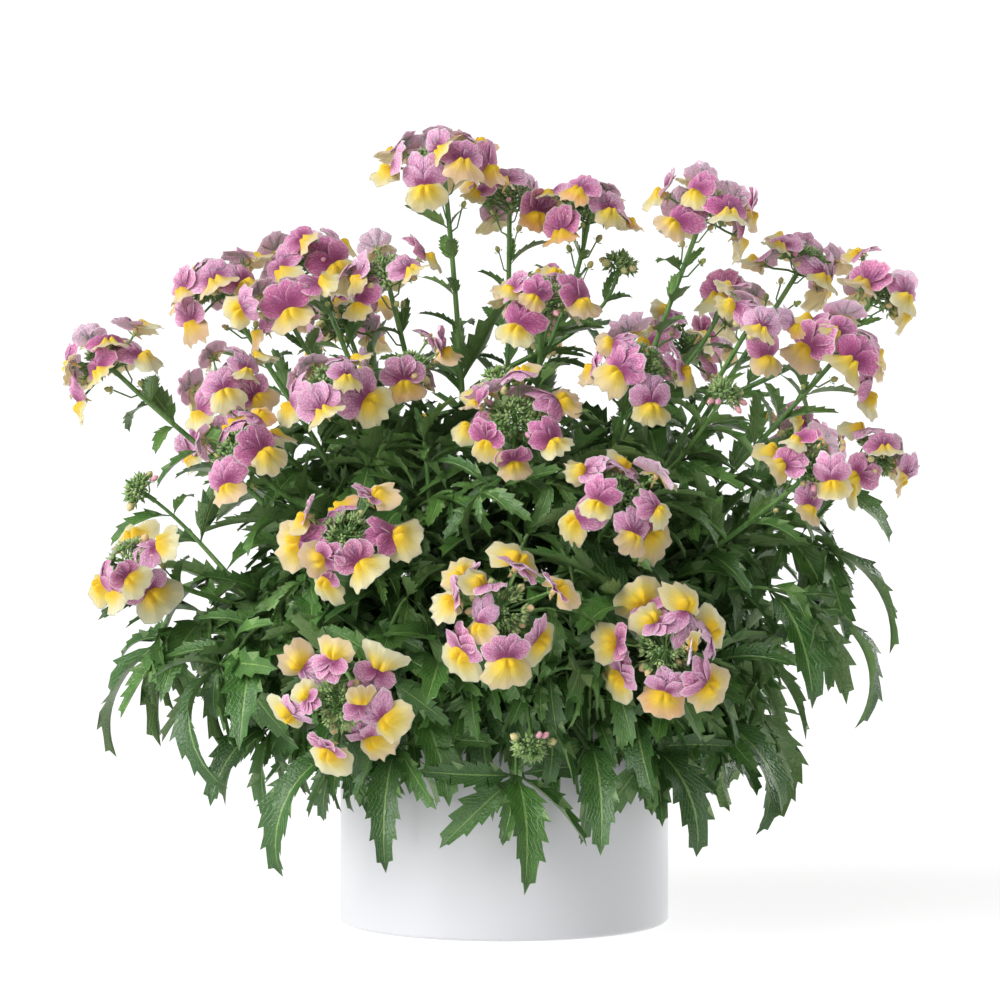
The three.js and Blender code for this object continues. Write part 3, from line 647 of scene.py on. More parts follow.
class Shape:
    """A small mesh in the making. Corners have UVs, and a face's mark tells its material what it is."""

    def __init__(self):
        self.mesh = bmesh.new()
        self.uv = self.mesh.loops.layers.uv.new("UVMap")
        self.mark = self.mesh.faces.layers.float.new("mark")

    def face(self, corners, uvs, mark):
        face = self.mesh.faces.new(corners)
        face.smooth = True
        face[self.mark] = mark
        for loop, uv in zip(face.loops, uvs):
            loop[self.uv].uv = uv

    def sheet(self, rows, columns, place, thick):
        """An upper and a lower face over a grid, whose points and UVs "place" gives for a row and a column.
        They meet in its outline, and are "thick" apart inside."""
        placed = [[place(row, column) for column in columns] for row in rows]
        grid = np.array([[point for point, _ in row] for row in placed], float)
        normal = np.cross(np.gradient(grid, axis=0), np.gradient(grid, axis=1))
        normal /= np.linalg.norm(normal, axis=2, keepdims=True) + 1e-12
        over, under = [], []
        for i in range(len(rows)):
            over.append([])
            under.append([])
            for j in range(len(columns)):
                inside = 0 < i < len(rows) - 1 and 0 < j < len(columns) - 1
                half = normal[i, j] * (thick / 2 if inside else 0)
                over[i].append(self.mesh.verts.new(grid[i, j] + half))
                under[i].append(self.mesh.verts.new(grid[i, j] - half) if inside else over[i][j])
        for i in range(len(rows) - 1):
            for j in range(len(columns) - 1):
                cell = [(i, j), (i + 1, j), (i + 1, j + 1), (i, j + 1)]
                uvs = [placed[a][b][1] for a, b in cell]
                self.face([over[a][b] for a, b in cell], uvs, 0)
                self.face([under[a][b] for a, b in reversed(cell)], uvs[::-1], 1)

    def tube(self, rings, mark, sides=6, uv=(0.5, 0.5)):
        """A closed tube through rings, each a centre, a direction and a reach."""
        loops = [[self.mesh.verts.new(around(centre, axis, RIGHT, i * tau / sides, reach))
                  for i in range(sides)] for centre, axis, reach in rings]
        for a, b in zip(loops, loops[1:]):
            for i in range(sides):
                k = (i + 1) % sides
                self.face([a[i], a[k], b[k], b[i]], [uv] * 4, mark)
        self.face(loops[0][::-1], [uv] * sides, mark)
        self.face(loops[-1], [uv] * sides, mark)

    def finish(self, name, collection):
        bmesh.ops.remove_doubles(self.mesh, verts=self.mesh.verts, dist=1e-5)
        for edge in self.mesh.edges:
            edge.smooth = len({face[self.mark] for face in edge.link_faces}) == 1
        data = bpy.data.meshes.new(name)
        self.mesh.to_mesh(data)
        self.mesh.free()
        collection.objects.link(bpy.data.objects.new(name, data))


def collected(name, maker, count):
    """A collection of shapes, which the growing tree picks from by their number."""
    collection = bpy.data.collections.new(name)
    for number in range(count):
        shape = Shape()
        maker(shape, number)
        shape.finish(f"{name}_{number:02}", collection)
    return collection


LEAF_TURNS = 4  # shapes for each droop
# Where the points lie across a blade, and for each tooth: its share, its width and how far its point leans on
BROAD = {"across": (-1, -0.55, 0, 0.55, 1), "tooth": ((0.42, 0.84, 0), (0.8, 1.08, 0.042))}
NARROW = {"across": (-1, 0, 1), "tooth": ((0.78, 1.08, 0.042),)}
# How much steeper a blade's sides are than the solid's, and as shares of its length, its wave, its sideways
# sickle and its thickness
BLADE = {"lift": 0.3, "wave": 0.014, "sickle": 0.06, "thick": 0.011}


def leaf_outline(teeth, depth, tooth):
    """Stations along a blade: the share of its length, half its width there and the tooth's forward lean."""
    stations = [(0, 0.05, 0), (0.08, 0.1, 0), (0.15, 0.24, 0)]
    for k in range(teeth):
        for share, wide, lean in ((0, depth, 0), *tooth):
            s = 0.2 + 0.7 / teeth * (k + share)
            stations.append((s, sin(pi * s**0.85) ** 0.8 * wide, lean))
    return stations + [(0.92, 0.22, 0), (1, 0, 0)]


def leaf_shape(blade, shape, number):
    """A toothed lance-shaped blade, one long and one wide, that leaves along +X and bends down."""
    bend = radians(DROOPS[number // LEAF_TURNS])
    teeth = 4 + int(chance(number, 40) * 2.5)
    twist = radians(spread(number, 41, 32))
    sickle = spread(number, 42, BLADE["sickle"])
    wave, phase = BLADE["wave"] + 0.012 * chance(number, 43), chance(number, 44) * tau

    def place(station, column):
        s, half, lean = station
        along = min(1, s + (lean if abs(column) == 1 else 0))
        turn, own = bend * along, twist * along
        across = column * half / 2
        lift = abs(across) * LEAF["aspect"] * (LEAF["fold"] + BLADE["lift"])
        lift += wave * sin(along * 17 + phase + column) * column**2 * half
        up = across * sin(own) * LEAF["aspect"] + lift * cos(own)
        aside = across * cos(own) - lift * sin(own) / LEAF["aspect"]
        x = sin(turn) / bend + sin(turn) * up
        z = (cos(turn) - 1) / bend + cos(turn) * up
        return (x, aside + sickle * sin(pi * along), z), (along, 0.5 + column / 2)

    stations = leaf_outline(teeth, 0.68 + 0.12 * chance(number, 45), blade["tooth"])
    shape.sheet(stations, blade["across"], place, BLADE["thick"])


LIP_VARIANTS = 10
# The round lobes of an upper lip: the heading of each, how far its middle lies from the throat, its reach
# from that middle, and how far it lies before the others
LOBES = [(-64, 5.6, 4.8, 0.25), (-21, 6.6, 4.1, -0.1), (21, 6.6, 4.1, 0.15), (64, 5.6, 4.8, 0.4)]
LOBE_ROWS = (0, 0.28, 0.54, 0.76, 0.92, 1)
LOBE_COLUMNS = [sin(radians(turn)) for turn in (90, 62, 40, 20, 0, -20, -40, -62, -90)]
REFLEX = [0.6, 2.4, 4.2, 6.4, 1.2, 3.2, -2.2, 5.2, 2.6, 7.6]  # how far back each lip bends, 10 mm out


def lobe_of(shape, own, heading, middle, reach, layer, reflex):
    """One round lobe of an upper lip, with a crease along its middle and a wavy edge."""
    heading += spread(own, 51, 6)
    middle *= 1 + spread(own, 52, 0.08)
    half = asin(reach / max(middle, reach * 1.04))
    fold = 0.2 + spread(own, 53, 2.2)
    reflex += spread(own, 55, 1.6)
    crease = 0.5 + 0.5 * chance(own, 56)
    phase = chance(own, 54) * tau

    def place(r, column):
        number, across = column
        angle = half * across
        round_edge = sqrt(max(0, reach**2 - (middle * sin(angle)) ** 2))
        d = r * (middle * cos(angle) + round_edge) * (1 + 0.02 * sin(across * 13 + phase) * r)
        turn = radians(heading) + angle
        z = 0.7 + layer - reflex * (d / 10) ** 2 + fold * across**2 * d / 10
        z += 0.6 * sin(across * 7 + phase) * r**3 - crease * exp(-(across * 4) ** 2) * r
        d *= 1 + spread(own * 16 + number, 57, 0.035) * r**4
        return (d * sin(turn), d * cos(turn) - 0.3, z), (0.5 + degrees(turn) / 240, r)

    shape.sheet(LOBE_ROWS, list(enumerate(LOBE_COLUMNS)), place, 0.3)


def upper_lip(shape, number):
    """Four round lobes side by side round the throat: x is across, y up and z forward."""
    for k, lobe in enumerate(LOBES):
        lobe_of(shape, number * 8 + k, *lobe, REFLEX[number])


LIP_RUN = Vector((0, -0.77, 0.64))  # the way that the lower lip runs from the throat
LIP_RISE = Vector((0, 0.64, 0.77))  # out of its upper face
# The lower lip's edge: turns from its middle in degrees, and how far from the throat the edge is there
LIP_TURNS = [0, 20, 43, 60, 75, 102]
LIP_REACH = [9.3, 10.1, 10.8, 10.0, 7.9, 4.6]
LIP_ROWS = (0, 0.13, 0.25, 0.37, 0.52, 0.7, 0.88, 1)
LIP_COLUMNS = 21
# The palate's two humps, and the places along the spur, each with its reach
PALATE = {"lift": 2.7, "apart": 1.6, "wide": 1.35, "out": 2.7, "long": 2.1}
SPUR = ((0, -0.4, 0.2, 1.2), (0, -0.9, -1.2, 1.15), (0, -2.2, -2.6, 0.75), (0, -4.4, -3.6, 0.2))


def lower_lip(shape, number):
    """A broad notched lip with a scalloped edge, the two-humped palate at its foot and the spur behind."""
    phase, frills = chance(number, 60) * tau, 7 + int(chance(number, 61) * 5)
    curl = 2.0 + spread(number, 62, 2.0)
    sag = spread(number, 63, 0.9)
    hang = 2.1 + spread(number, 64, 1.6)

    def place(r, column):
        own, turn = column
        rad = radians(turn)
        reach = float(np.interp(abs(turn), LIP_TURNS, LIP_REACH))
        notch = 0.045 * sin(rad * 13 + phase) + spread(number * 32 + own, 65, 0.075)
        d = r * reach * (1 + notch * r**3)
        x, w = d * sin(rad), d * cos(rad)
        lift = PALATE["lift"] * exp(-((abs(x) - PALATE["apart"]) / PALATE["wide"]) ** 2
                                    - ((w - PALATE["out"]) / PALATE["long"]) ** 2)
        lift -= curl * (d / 10) ** 2.4 + sag * cos(rad * 2) * r**2
        lift += 0.75 * sin(rad * frills + phase) * r**3 - hang * sin(rad) ** 4 * r
        return Vector((x, -0.6, 0.8)) + LIP_RUN * w + LIP_RISE * lift, (0.5 + turn / 240, r)

    widest = LIP_TURNS[-1]
    shape.sheet(LIP_ROWS, list(enumerate(np.linspace(-widest, widest, LIP_COLUMNS))), place, 0.32)
    back = Vector((0, -0.45, -1)).normalized()
    shape.tube([(Vector(at), back, reach) for *at, reach in SPUR], 2)


def sepal(shape, root, out, up, length, width):
    """One pointed sepal with a keel, that leaves its root along "out"."""
    side = out.cross(up).normalized() * width / 2
    middle = root + out * length * 0.45
    corners = [shape.mesh.verts.new(p) for p in (root, middle + side, root + out * length, middle - side)]
    keel = shape.mesh.verts.new(middle - up.normalized() * width * 0.35)
    lower = [(b, a, keel) for a, b in zip(corners, corners[1:] + corners[:1])]
    for face in [(corners[0], corners[1], corners[3]), corners[1:]] + lower:
        shape.face(face, [(0.5, 0.2)] * 3, 0)


def star(shape, number, count, foot, reach, length, width, lean):
    """Sepals side by side round +Z. The lean is how far they spread out."""
    for k in range(count):
        side = compass((k + 0.5) * tau / count + spread(number * 5 + k, 72, 0.25), 1)
        out = (side * (lean + spread(number * 5 + k, 73, 0.2)) + UP).normalized()
        sepal(shape, side * reach + UP * foot, out, UP - side * 0.6, length, width)


def egg(shape, low, high, reach, mark):
    """A closed egg along +Z."""
    shape.tube([(UP * between(low, high, share), UP, reach * sin(pi * share) ** 0.6)
                for share in (0.03, 0.3, 0.7, 0.97)], mark)


def calyx(shape, number):
    """The five narrow sepals behind a flower, which lies along +Z."""
    star(shape, number, 5, 0, 0.35, 3.4, 1.2, 1.7)
    egg(shape, -0.7, 1.1, 0.95, 0)


# Each kind of bud: its egg's low and high end, reach and mark, and its sepals as "star" takes them
BUD_KINDS = {"tight": ((0.1, 2.5, 1.0, 0), (5, 0.2, 0.5, 3.6, 1.7, 0.72)),
             "round": ((0, 3.7, 1.5, 1), (5, 0, 0.8, 2.6, 1.3, 0.9)),
             "pink": ((0, 4.6, 1.35, 2), (5, 0, 0.7, 2.2, 0.9, 0.9)),
             "pod": ((0, 3.4, 1.2, 3), (4, 0, 0.7, 2.0, 0.9, 1.0))}
BUDS = ["tight", "tight", "tight", "round", "round", "pink", "pink", "pod", "pod"]
PERLITE = 3  # the number of the grain of perlite, after the crumbs of peat


def bud(shape, number):
    """A bud or a pod along +Z, with its sepals round it."""
    body, sepals = BUD_KINDS[BUDS[number]]
    egg(shape, *body)
    star(shape, number, *sepals)


def crumb(shape, number):
    """A crumb of peat or a grain of perlite."""
    bmesh.ops.create_icosphere(shape.mesh, subdivisions=1, radius=1)
    for vertex in shape.mesh.verts:
        vertex.co *= 0.75 + 0.5 * chance(number * 64 + vertex.index, 80)
    for face in shape.mesh.faces:
        face[shape.mark] = 1 if number == PERLITE else 0


# Trees of nodes


def linear(colour):
    """An sRGB hex colour as linear red, green, blue and alpha."""
    parts = [int(colour[k:k + 2], 16) / 255 for k in (1, 3, 5)]
    return [p / 12.92 if p <= 0.04045 else ((p + 0.055) / 1.055) ** 2.4 for p in parts] + [1]


def set_inputs(tree, node, inputs):
    """Sets a node's inputs. Each is a value, a hex colour, a node or one of a node's outputs."""
    for name, value in inputs.items():
        socket = node.inputs[name]
        if isinstance(name, str):
            socket = next(s for s in node.inputs if s.enabled and s.name == name)
        if isinstance(value, bpy.types.Node):
            value = next(s for s in value.outputs if s.enabled)
        if isinstance(value, bpy.types.NodeSocket):
            tree.links.new(value, socket)
        else:
            socket.default_value = linear(value) if socket.type == "RGBA" else value


def add(tree, kind, inputs=None, stops=(), **settings):
    """Adds a node with its settings, its inputs and, for a colour ramp, its stops. Kinds of shader nodes are
    given without that prefix."""
    node = tree.nodes.new(kind if "Node" in kind else "ShaderNode" + kind)
    for name, value in settings.items():
        setattr(node, name, value)
    for position, _ in stops[2:]:
        node.color_ramp.elements.new(position)
    for k, (position, colour) in enumerate(stops):
        node.color_ramp.elements[k].position = position
        node.color_ramp.elements[k].color = linear(colour)
    set_inputs(tree, node, inputs or {})
    return node


def new_tree(name, **sockets):
    """A tree of geometry nodes with its named inputs, and the function that adds its nodes."""
    tree = bpy.data.node_groups.new(name, "GeometryNodeTree")
    for socket, kind in sockets.items():
        tree.interface.new_socket(socket, in_out="INPUT", socket_type="NodeSocket" + kind)
    tree.interface.new_socket("Geometry", in_out="OUTPUT", socket_type="NodeSocketGeometry")
    return tree, tree.nodes.new("NodeGroupInput").outputs, partial(add, tree)


def growing_tree():
    """Sets one of the shapes at each point, turned and sized by the point's attributes."""
    tree, given, node = new_tree("grow shapes at points", Geometry="Geometry", Shapes="Collection",
                                 Finish="Material", Unit="Float")
    turn, size, kind = (
        node("GeometryNodeInputNamedAttribute", {"Name": name}, data_type=data_type)
        for name, data_type in (("turn", "FLOAT_VECTOR"), ("size", "FLOAT_VECTOR"), ("kind", "INT")))
    shapes = node("GeometryNodeCollectionInfo", {
        "Collection": given["Shapes"], "Separate Children": True, "Reset Children": True})
    rotation = node("FunctionNodeEulerToRotation", {"Euler": turn})
    scale = node("VectorMath", {"Vector": size, "Scale": given["Unit"]}, operation="SCALE")
    placed = node("GeometryNodeInstanceOnPoints", {
        "Points": given["Geometry"], "Instance": shapes, "Pick Instance": True, "Instance Index": kind,
        "Rotation": rotation, "Scale": scale})
    real = node("GeometryNodeRealizeInstances", {"Geometry": placed})
    done = node("GeometryNodeSetMaterial", {"Geometry": real, "Material": given["Finish"]})
    node("NodeGroupOutput", {"Geometry": done})
    return tree


def stalk_tree():
    """Draws a stalk with rounded corners along each line of points, as thick as the points say."""
    tree, given, node = new_tree("draw stalks along lines", Geometry="Geometry", Finish="Material",
                                 Sides="Int", Rounding="Float")
    thick = node("GeometryNodeInputNamedAttribute", {"Name": "thick"}, data_type="FLOAT")
    line = node("GeometryNodeMeshToCurve", {"Mesh": given["Geometry"]})
    section = node("GeometryNodeCurvePrimitiveCircle", {"Resolution": given["Sides"], "Radius": 1.0})
    rounded = node("GeometryNodeFilletCurve", {"Curve": section, "Radius": given["Rounding"]})
    skin = node("GeometryNodeCurveToMesh", {"Curve": line, "Profile Curve": rounded, "Fill Caps": True,
                                            "Scale": thick})
    smooth = node("GeometryNodeSetShadeSmooth", {"Geometry": skin})
    done = node("GeometryNodeSetMaterial", {"Geometry": smooth, "Material": given["Finish"]})
    node("NodeGroupOutput", {"Geometry": done})
    return tree


def shown(name, data):
    thing = bpy.data.objects.new(name, data)
    bpy.context.scene.collection.objects.link(thing)
    return thing


def evaluated(name, mesh, tree, values):
    """A plain mesh of what a tree makes of a mesh, as an object at the origin."""
    carrier = shown(name + "_carrier", mesh)
    modifier = carrier.modifiers.new("tree", "NODES")
    modifier.node_group = tree
    for item in tree.interface.items_tree:
        if item.in_out == "INPUT" and item.name in values:
            modifier[item.identifier] = values[item.name]
    depsgraph = bpy.context.evaluated_depsgraph_get()
    made = bpy.data.meshes.new_from_object(
        carrier.evaluated_get(depsgraph), preserve_all_data_layers=True, depsgraph=depsgraph)
    bpy.data.objects.remove(carrier)
    made.name = name
    return shown(name, made)


def points_with(name, places, edges=(), **attributes):
    """A mesh of points that are given in millimetres, with attributes of numbers or of vectors."""
    mesh = bpy.data.meshes.new(name)
    mesh.from_pydata([place * MM for place in places], edges, [])
    for attribute, (kind, values) in attributes.items():
        values = np.array(values, np.int32 if kind == "INT" else np.float32)
        key = "vector" if kind == "FLOAT_VECTOR" else "value"
        mesh.attributes.new(attribute, kind, "POINT").data.foreach_set(key, values.ravel())
    return mesh


def grown(name, spots, shapes, finish):
    """One shape at each spot, as one mesh. A spot is a place, a turn, a size, a kind and a tint."""
    places, turns, sizes, kinds, tints = zip(*spots)
    mesh = points_with(name, places, turn=("FLOAT_VECTOR", [turn.to_euler("XYZ") for turn in turns]),
                       size=("FLOAT_VECTOR", sizes), kind=("INT", kinds), tint=("FLOAT", tints))
    return evaluated(name, mesh, tree_of_shapes, {"Shapes": shapes, "Finish": finish, "Unit": MM})


def drawn(name, lines, finish, sides, rounding):
    """A stalk along each line, as one mesh. A line is a list of points with a thickness each."""
    places, edges, thick = [], [], []
    for line in lines:
        edges += [(len(places) + k, len(places) + k + 1) for k in range(len(line) - 1)]
        places += [point for point, _ in line]
        thick += [reach * MM for _, reach in line]
    mesh = points_with(name, places, edges, thick=("FLOAT", thick))
    return evaluated(name, mesh, tree_of_stalks, {"Finish": finish, "Sides": sides, "Rounding": rounding})


# Materials


def new_material(name, **uniform):
    """A material with the values that are the same all over its surface, by the shader's own socket names,
    and the function that adds its nodes."""
    material = bpy.data.materials.new(name)
    material.use_nodes = True
    tree = material.node_tree
    values = {socket.replace("_", " "): value for socket, value in uniform.items()}
    set_inputs(tree, tree.nodes["Principled BSDF"], values)
    return material, partial(add, tree)


def layered(node, colour, layers):
    """Lays more colours over one, each where its factor says."""
    for factor, over in layers:
        colour = node("Mix", {"Factor": factor, "A": colour, "B": over}, data_type="RGBA")
    return colour


def finished(material, colour, height, depth):
    """Gives the shader its colour, and a relief of a depth in millimetres."""
    tree = material.node_tree
    bump = add(tree, "Bump", {"Height": height, "Distance": depth * MM})
    set_inputs(tree, tree.nodes["Principled BSDF"], {"Base Color": colour, "Normal": bump})
    return material


SMOOTH = {"interpolation_type": "SMOOTHSTEP"}  # for a fade that starts and ends softly


def leaf_blade():
    """A living leaf: its wax gives it a satin gloss, its veins are sunk and pale, and it is paler below."""
    material, node = new_material("living_leaf_blade", Roughness=0.37, Specular_IOR_Level=0.65)
    place = node("SeparateXYZ", {"Vector": node("UVMap", uv_map="UVMap")})
    along, across = place.outputs[0], place.outputs[1]
    aside = node("Math", {0: across, 1: 0.5}, operation="SUBTRACT")
    off_rib = node("Math", {0: aside}, operation="ABSOLUTE")
    # Eleven side veins leave each side of the rib forwards at a sharp angle, 4 mm apart on a leaf 45 mm long.
    slant = node("Math", {0: off_rib, 1: -0.75, 2: along}, operation="MULTIPLY_ADD")
    steps = node("Math", {0: slant, 1: 11.0}, operation="MULTIPLY")
    saw = node("Math", {0: steps, 1: 0.5}, operation="PINGPONG")
    side_vein = node("MapRange", {"Value": saw, "From Max": 0.16, "To Min": 0.24, "To Max": 0.0}, **SMOOTH)
    rib = node("MapRange", {
        "Value": off_rib, "From Min": 0.01, "From Max": 0.06, "To Min": 0.5, "To Max": 0.0}, **SMOOTH)
    veins = node("Math", {0: side_vein, 1: rib}, operation="MAXIMUM")
    tint = node("Attribute", attribute_name="tint").outputs["Fac"]
    green = node("ValToRGB", {"Fac": tint}, [
        (0, "#254a1b"), (0.35, "#3b6828"), (0.7, "#5c8a3b"), (1, "#95b766")])
    spot = node("TexCoord").outputs["Object"]
    # Patches a few millimetres across, where the blade is thicker or in older growth.
    patch = node("TexNoise", {"Vector": spot, "Scale": 170.0, "Detail": 3.0})
    shade = node("MapRange", {"Value": patch, "From Min": 0.35, "From Max": 0.7, "To Max": 0.55})
    under = node("Attribute", attribute_name="mark").outputs["Fac"]
    pale = node("Math", {0: under, 1: 0.55}, operation="MULTIPLY")
    grain = node("TexNoise", {"Vector": spot, "Scale": 900.0})
    relief = node("Math", {0: veins, 1: -1.0, 2: grain}, operation="MULTIPLY_ADD")
    layers = [(shade, "#22481b"), (veins, "#9aba6c"), (pale, "#86a368")]
    return finished(material, layered(node, green, layers), relief, 0.45)


def green_stem():
    """A fresh square stem: waxy, mid green, streaked along its length and paler in blotches."""
    material, node = new_material("fresh_green_stem", Roughness=0.42, Specular_IOR_Level=0.4)
    spot = node("TexCoord").outputs["Object"]
    upright = node("Mapping", {"Vector": spot, "Scale": (1, 1, 0.06)})
    streak = node("TexNoise", {"Vector": upright, "Scale": 900.0})
    blotch = node("TexNoise", {"Vector": spot, "Scale": 60.0})
    streaks = node("MapRange", {"Value": streak, "From Min": 0.3, "From Max": 0.7})
    blotches = node("MapRange", {"Value": blotch, "From Min": 0.42, "From Max": 0.7, "To Max": 0.6})
    green = layered(node, "#466f34", [(streaks, "#6c934e"), (blotches, "#7d9a57")])
    return finished(material, green, streak, 0.2)


def bud_green():
    """Hairy sepals, buds and pods, dull and pale from their hairs. Buds that soon open show their petals."""
    material, node = new_material("hairy_green_bud", Roughness=0.62, Specular_IOR_Level=0.3,
                                  Sheen_Weight=0.35)
    tint = node("Attribute", attribute_name="tint").outputs["Fac"]
    mark = node("Attribute", attribute_name="mark").outputs["Fac"]
    fleck = node("TexNoise", {"Vector": node("TexCoord").outputs["Object"], "Scale": 1300.0})
    flecks = node("MapRange", {"Value": fleck, "From Min": 0.4, "From Max": 0.68, "To Max": 0.5})
    part = node("Math", {0: mark, 1: 3.0}, operation="DIVIDE")
    body = node("ValToRGB", {"Fac": part}, [
        (0, "#96b85a"), (0.33, "#d0cd8c"), (0.67, "#db9ab8"), (1, "#a6b564")])
    flush = node("Math", {0: tint, 1: 0.5}, operation="MULTIPLY")
    flushed = layered(node, body, [(flush, "#d99f86")])
    is_body = node("Math", {0: mark, 1: 0.5}, operation="GREATER_THAN")
    green = layered(node, "#6b9642", [(tint, "#adc67a"), (flecks, "#496f2b"), (is_body, flushed)])
    return finished(material, green, fleck, 0.25)


# Light passes through a petal 0.3 mm thick, so its shaded side glows.
THIN_PETAL = {"Roughness": 0.6, "Specular_IOR_Level": 0.25, "Subsurface_Weight": 1.0,
              "Subsurface_Radius": (1, 0.9, 0.9), "Subsurface_Scale": 0.6 * MM}


def upper_petal():
    """A thin petal, matte with a soft sheen from its tiny cells: mauve pink, dark at the throat, with a net
    of veins that shows towards its cream edge. Its back is paler, partly its own colour and partly painted
    light that brightens backs lying in shade."""
    material, node = new_material("mauve_upper_petal", Sheen_Weight=0.15, **THIN_PETAL)
    fan = node("UVMap", uv_map="UVMap")
    out = node("SeparateXYZ", {"Vector": fan}).outputs[1]
    tint = node("Attribute", attribute_name="tint").outputs["Fac"]
    mark = node("Attribute", attribute_name="mark").outputs["Fac"]
    pink = node("ValToRGB", {"Fac": tint}, [
        (0, "#d073a6"), (0.3, "#da91b8"), (0.6, "#dca6c4"), (0.85, "#dbadca"), (1, "#ddb9d1")])
    # The real net is finer than a pixel; this one has veins 0.9 mm apart, as coarse as it needs to show.
    stretched = node("Mapping", {"Vector": fan, "Scale": (44, 6, 1)})
    net = node("TexVoronoi", {"Vector": stretched, "Scale": 1.0}, feature="DISTANCE_TO_EDGE")
    between_veins = node("MapRange", {"Value": net, "From Min": 0.02, "From Max": 0.3})
    outer = node("MapRange", {"Value": out, "From Min": 0.3, "From Max": 0.95, "To Max": 0.24})
    cells = node("Math", {0: between_veins, 1: outer}, operation="MULTIPLY")
    veined = node("MapRange", {"Value": between_veins, "From Max": 0.5, "To Min": 0.42, "To Max": 0.0})
    # The dark of the throat runs out along the veins, and further in a darker flower.
    reach = node("Math", {0: tint, 1: -0.5, 2: 1.3}, operation="MULTIPLY_ADD")
    flame = node("Math", {0: between_veins, 1: -0.34, 2: reach}, operation="MULTIPLY_ADD")
    throat = node("MapRange", {
        "Value": out, "From Min": 0.2, "From Max": flame, "To Min": 0.92, "To Max": 0.0}, **SMOOTH)
    edge = node("MapRange", {"Value": out, "From Min": 0.93, "To Max": 0.65})
    # The back is partly the petal's own paler back and partly painted light: lifted so backs in shade look
    # lit.
    back = layered(node, "#eebcd6", [(between_veins, "#f9e4f0")])
    layers = [(cells, "#e8ccda"), (veined, "#a5477f"), (throat, "#8c2f6b"), (edge, "#f2e4dc"), (mark, back)]
    return finished(material, layered(node, pink, layers), between_veins, 0.18)


def lower_petal():
    """A thin matte lip: cream to yellow with a golden palate and orange lines, and a paler spur and back.
    The back's paleness is partly its own colour and partly painted light for backs that lie in shade.
    """
    material, node = new_material("yellow_lower_petal", Sheen_Weight=0.1, **THIN_PETAL)
    fan = node("UVMap", uv_map="UVMap")
    out = node("SeparateXYZ", {"Vector": fan}).outputs[1]
    tint = node("Attribute", attribute_name="tint").outputs["Fac"]
    mark = node("Attribute", attribute_name="mark").outputs["Fac"]
    yellow = node("ValToRGB", {"Fac": tint}, [
        (0, "#bcbb9a"), (0.25, "#c0b983"), (0.5, "#c4b75f"), (0.68, "#c4ad86"), (0.88, "#d69d35")])
    # Lines about 1 mm apart that fan out from the throat.
    stretched = node("Mapping", {"Vector": fan, "Scale": (52, 2, 1)})
    line = node("TexNoise", {"Vector": stretched, "Scale": 1.0})
    lines = node("MapRange", {"Value": line, "From Min": 0.42, "From Max": 0.62})
    pale = node("Math", {0: lines, 1: 0.3}, operation="MULTIPLY")
    gold = node("MapRange", {
        "Value": out, "From Min": 0.25, "From Max": 0.85, "To Min": 0.97, "To Max": 0.0}, **SMOOTH)
    inner = node("MapRange", {"Value": out, "From Min": 0.05, "From Max": 0.5, "To Min": 0.45, "To Max": 0.0})
    streaks = node("Math", {0: lines, 1: inner}, operation="MULTIPLY")
    edge = node("MapRange", {"Value": out, "From Min": 0.62, "To Max": 0.8})
    margin = node("ValToRGB", {"Fac": tint}, [(0, "#c7c5a8"), (0.4, "#cabfa3"), (0.85, "#d1ac90")])
    is_spur = node("Math", {0: mark, 1: 1.5}, operation="GREATER_THAN")
    # The back is partly the lip's own paler back and partly painted light: lifted so backs in shade look lit.
    back = layered(node, "#eee4c0", [(lines, "#e6d5b4"), (is_spur, "#d3b884")])
    layers = [(pale, "#cdc6a4"), (gold, "#dab91a"), (streaks, "#da920f"), (edge, margin), (mark, back)]
    return finished(material, layered(node, yellow, layers), line, 0.2)


def white_glaze():
    """Glazed white earthenware: a clear gloss over an even white body, with the faint waves of its glaze."""
    material, node = new_material("white_glazed_earthenware", Roughness=0.3, Coat_Weight=0.5,
                                  Coat_Roughness=0.14, IOR=1.5)
    spot = node("TexCoord").outputs["Object"]
    cloud = node("TexNoise", {"Vector": spot, "Scale": 25.0})
    wave = node("TexNoise", {"Vector": spot, "Scale": 40.0, "Detail": 0.0})
    return finished(material, layered(node, "#cfcfd2", [(cloud, "#cacbcf")]), wave, 0.12)


def potting_mix():
    """Moist peat with white perlite grains. Peat has no gloss, and its fibres are lighter than its crumbs."""
    material, node = new_material("moist_peat_and_perlite", Roughness=0.92, Specular_IOR_Level=0.2)
    fibre = node("TexNoise", {"Vector": node("TexCoord").outputs["Object"], "Scale": 450.0, "Detail": 4.0})
    light = node("MapRange", {"Value": fibre, "From Min": 0.35, "From Max": 0.65})
    is_perlite = node("Attribute", attribute_name="mark").outputs["Fac"]
    brown = layered(node, "#1f150e", [(light, "#4a3423"), (is_perlite, "#e4e0d6")])
    return finished(material, brown, fibre, 0.9)


# The pot and its potting mix

# The pot's rounded foot, and its base, which is dished a little and has a sloped corner inside
BASE = {"foot": 1.5, "thick": 5, "corner": 4, "dish": 0.2}
# The mix's radius, how far it lies below the solid's top, how uneven it is, its number of rings, and the
# height at which its sides start
BED = {"inner": POT["radius"] - POT["wall"] - GAP, "sunk": 0.5, "rough": 0.7, "rings": 26, "sides": 14}
# The loose crumbs' number, least size and spread of sizes, and the share of them that is perlite
CRUMBS = {"count": 1300, "least": 0.5, "more": 1.1, "perlite": 0.06}


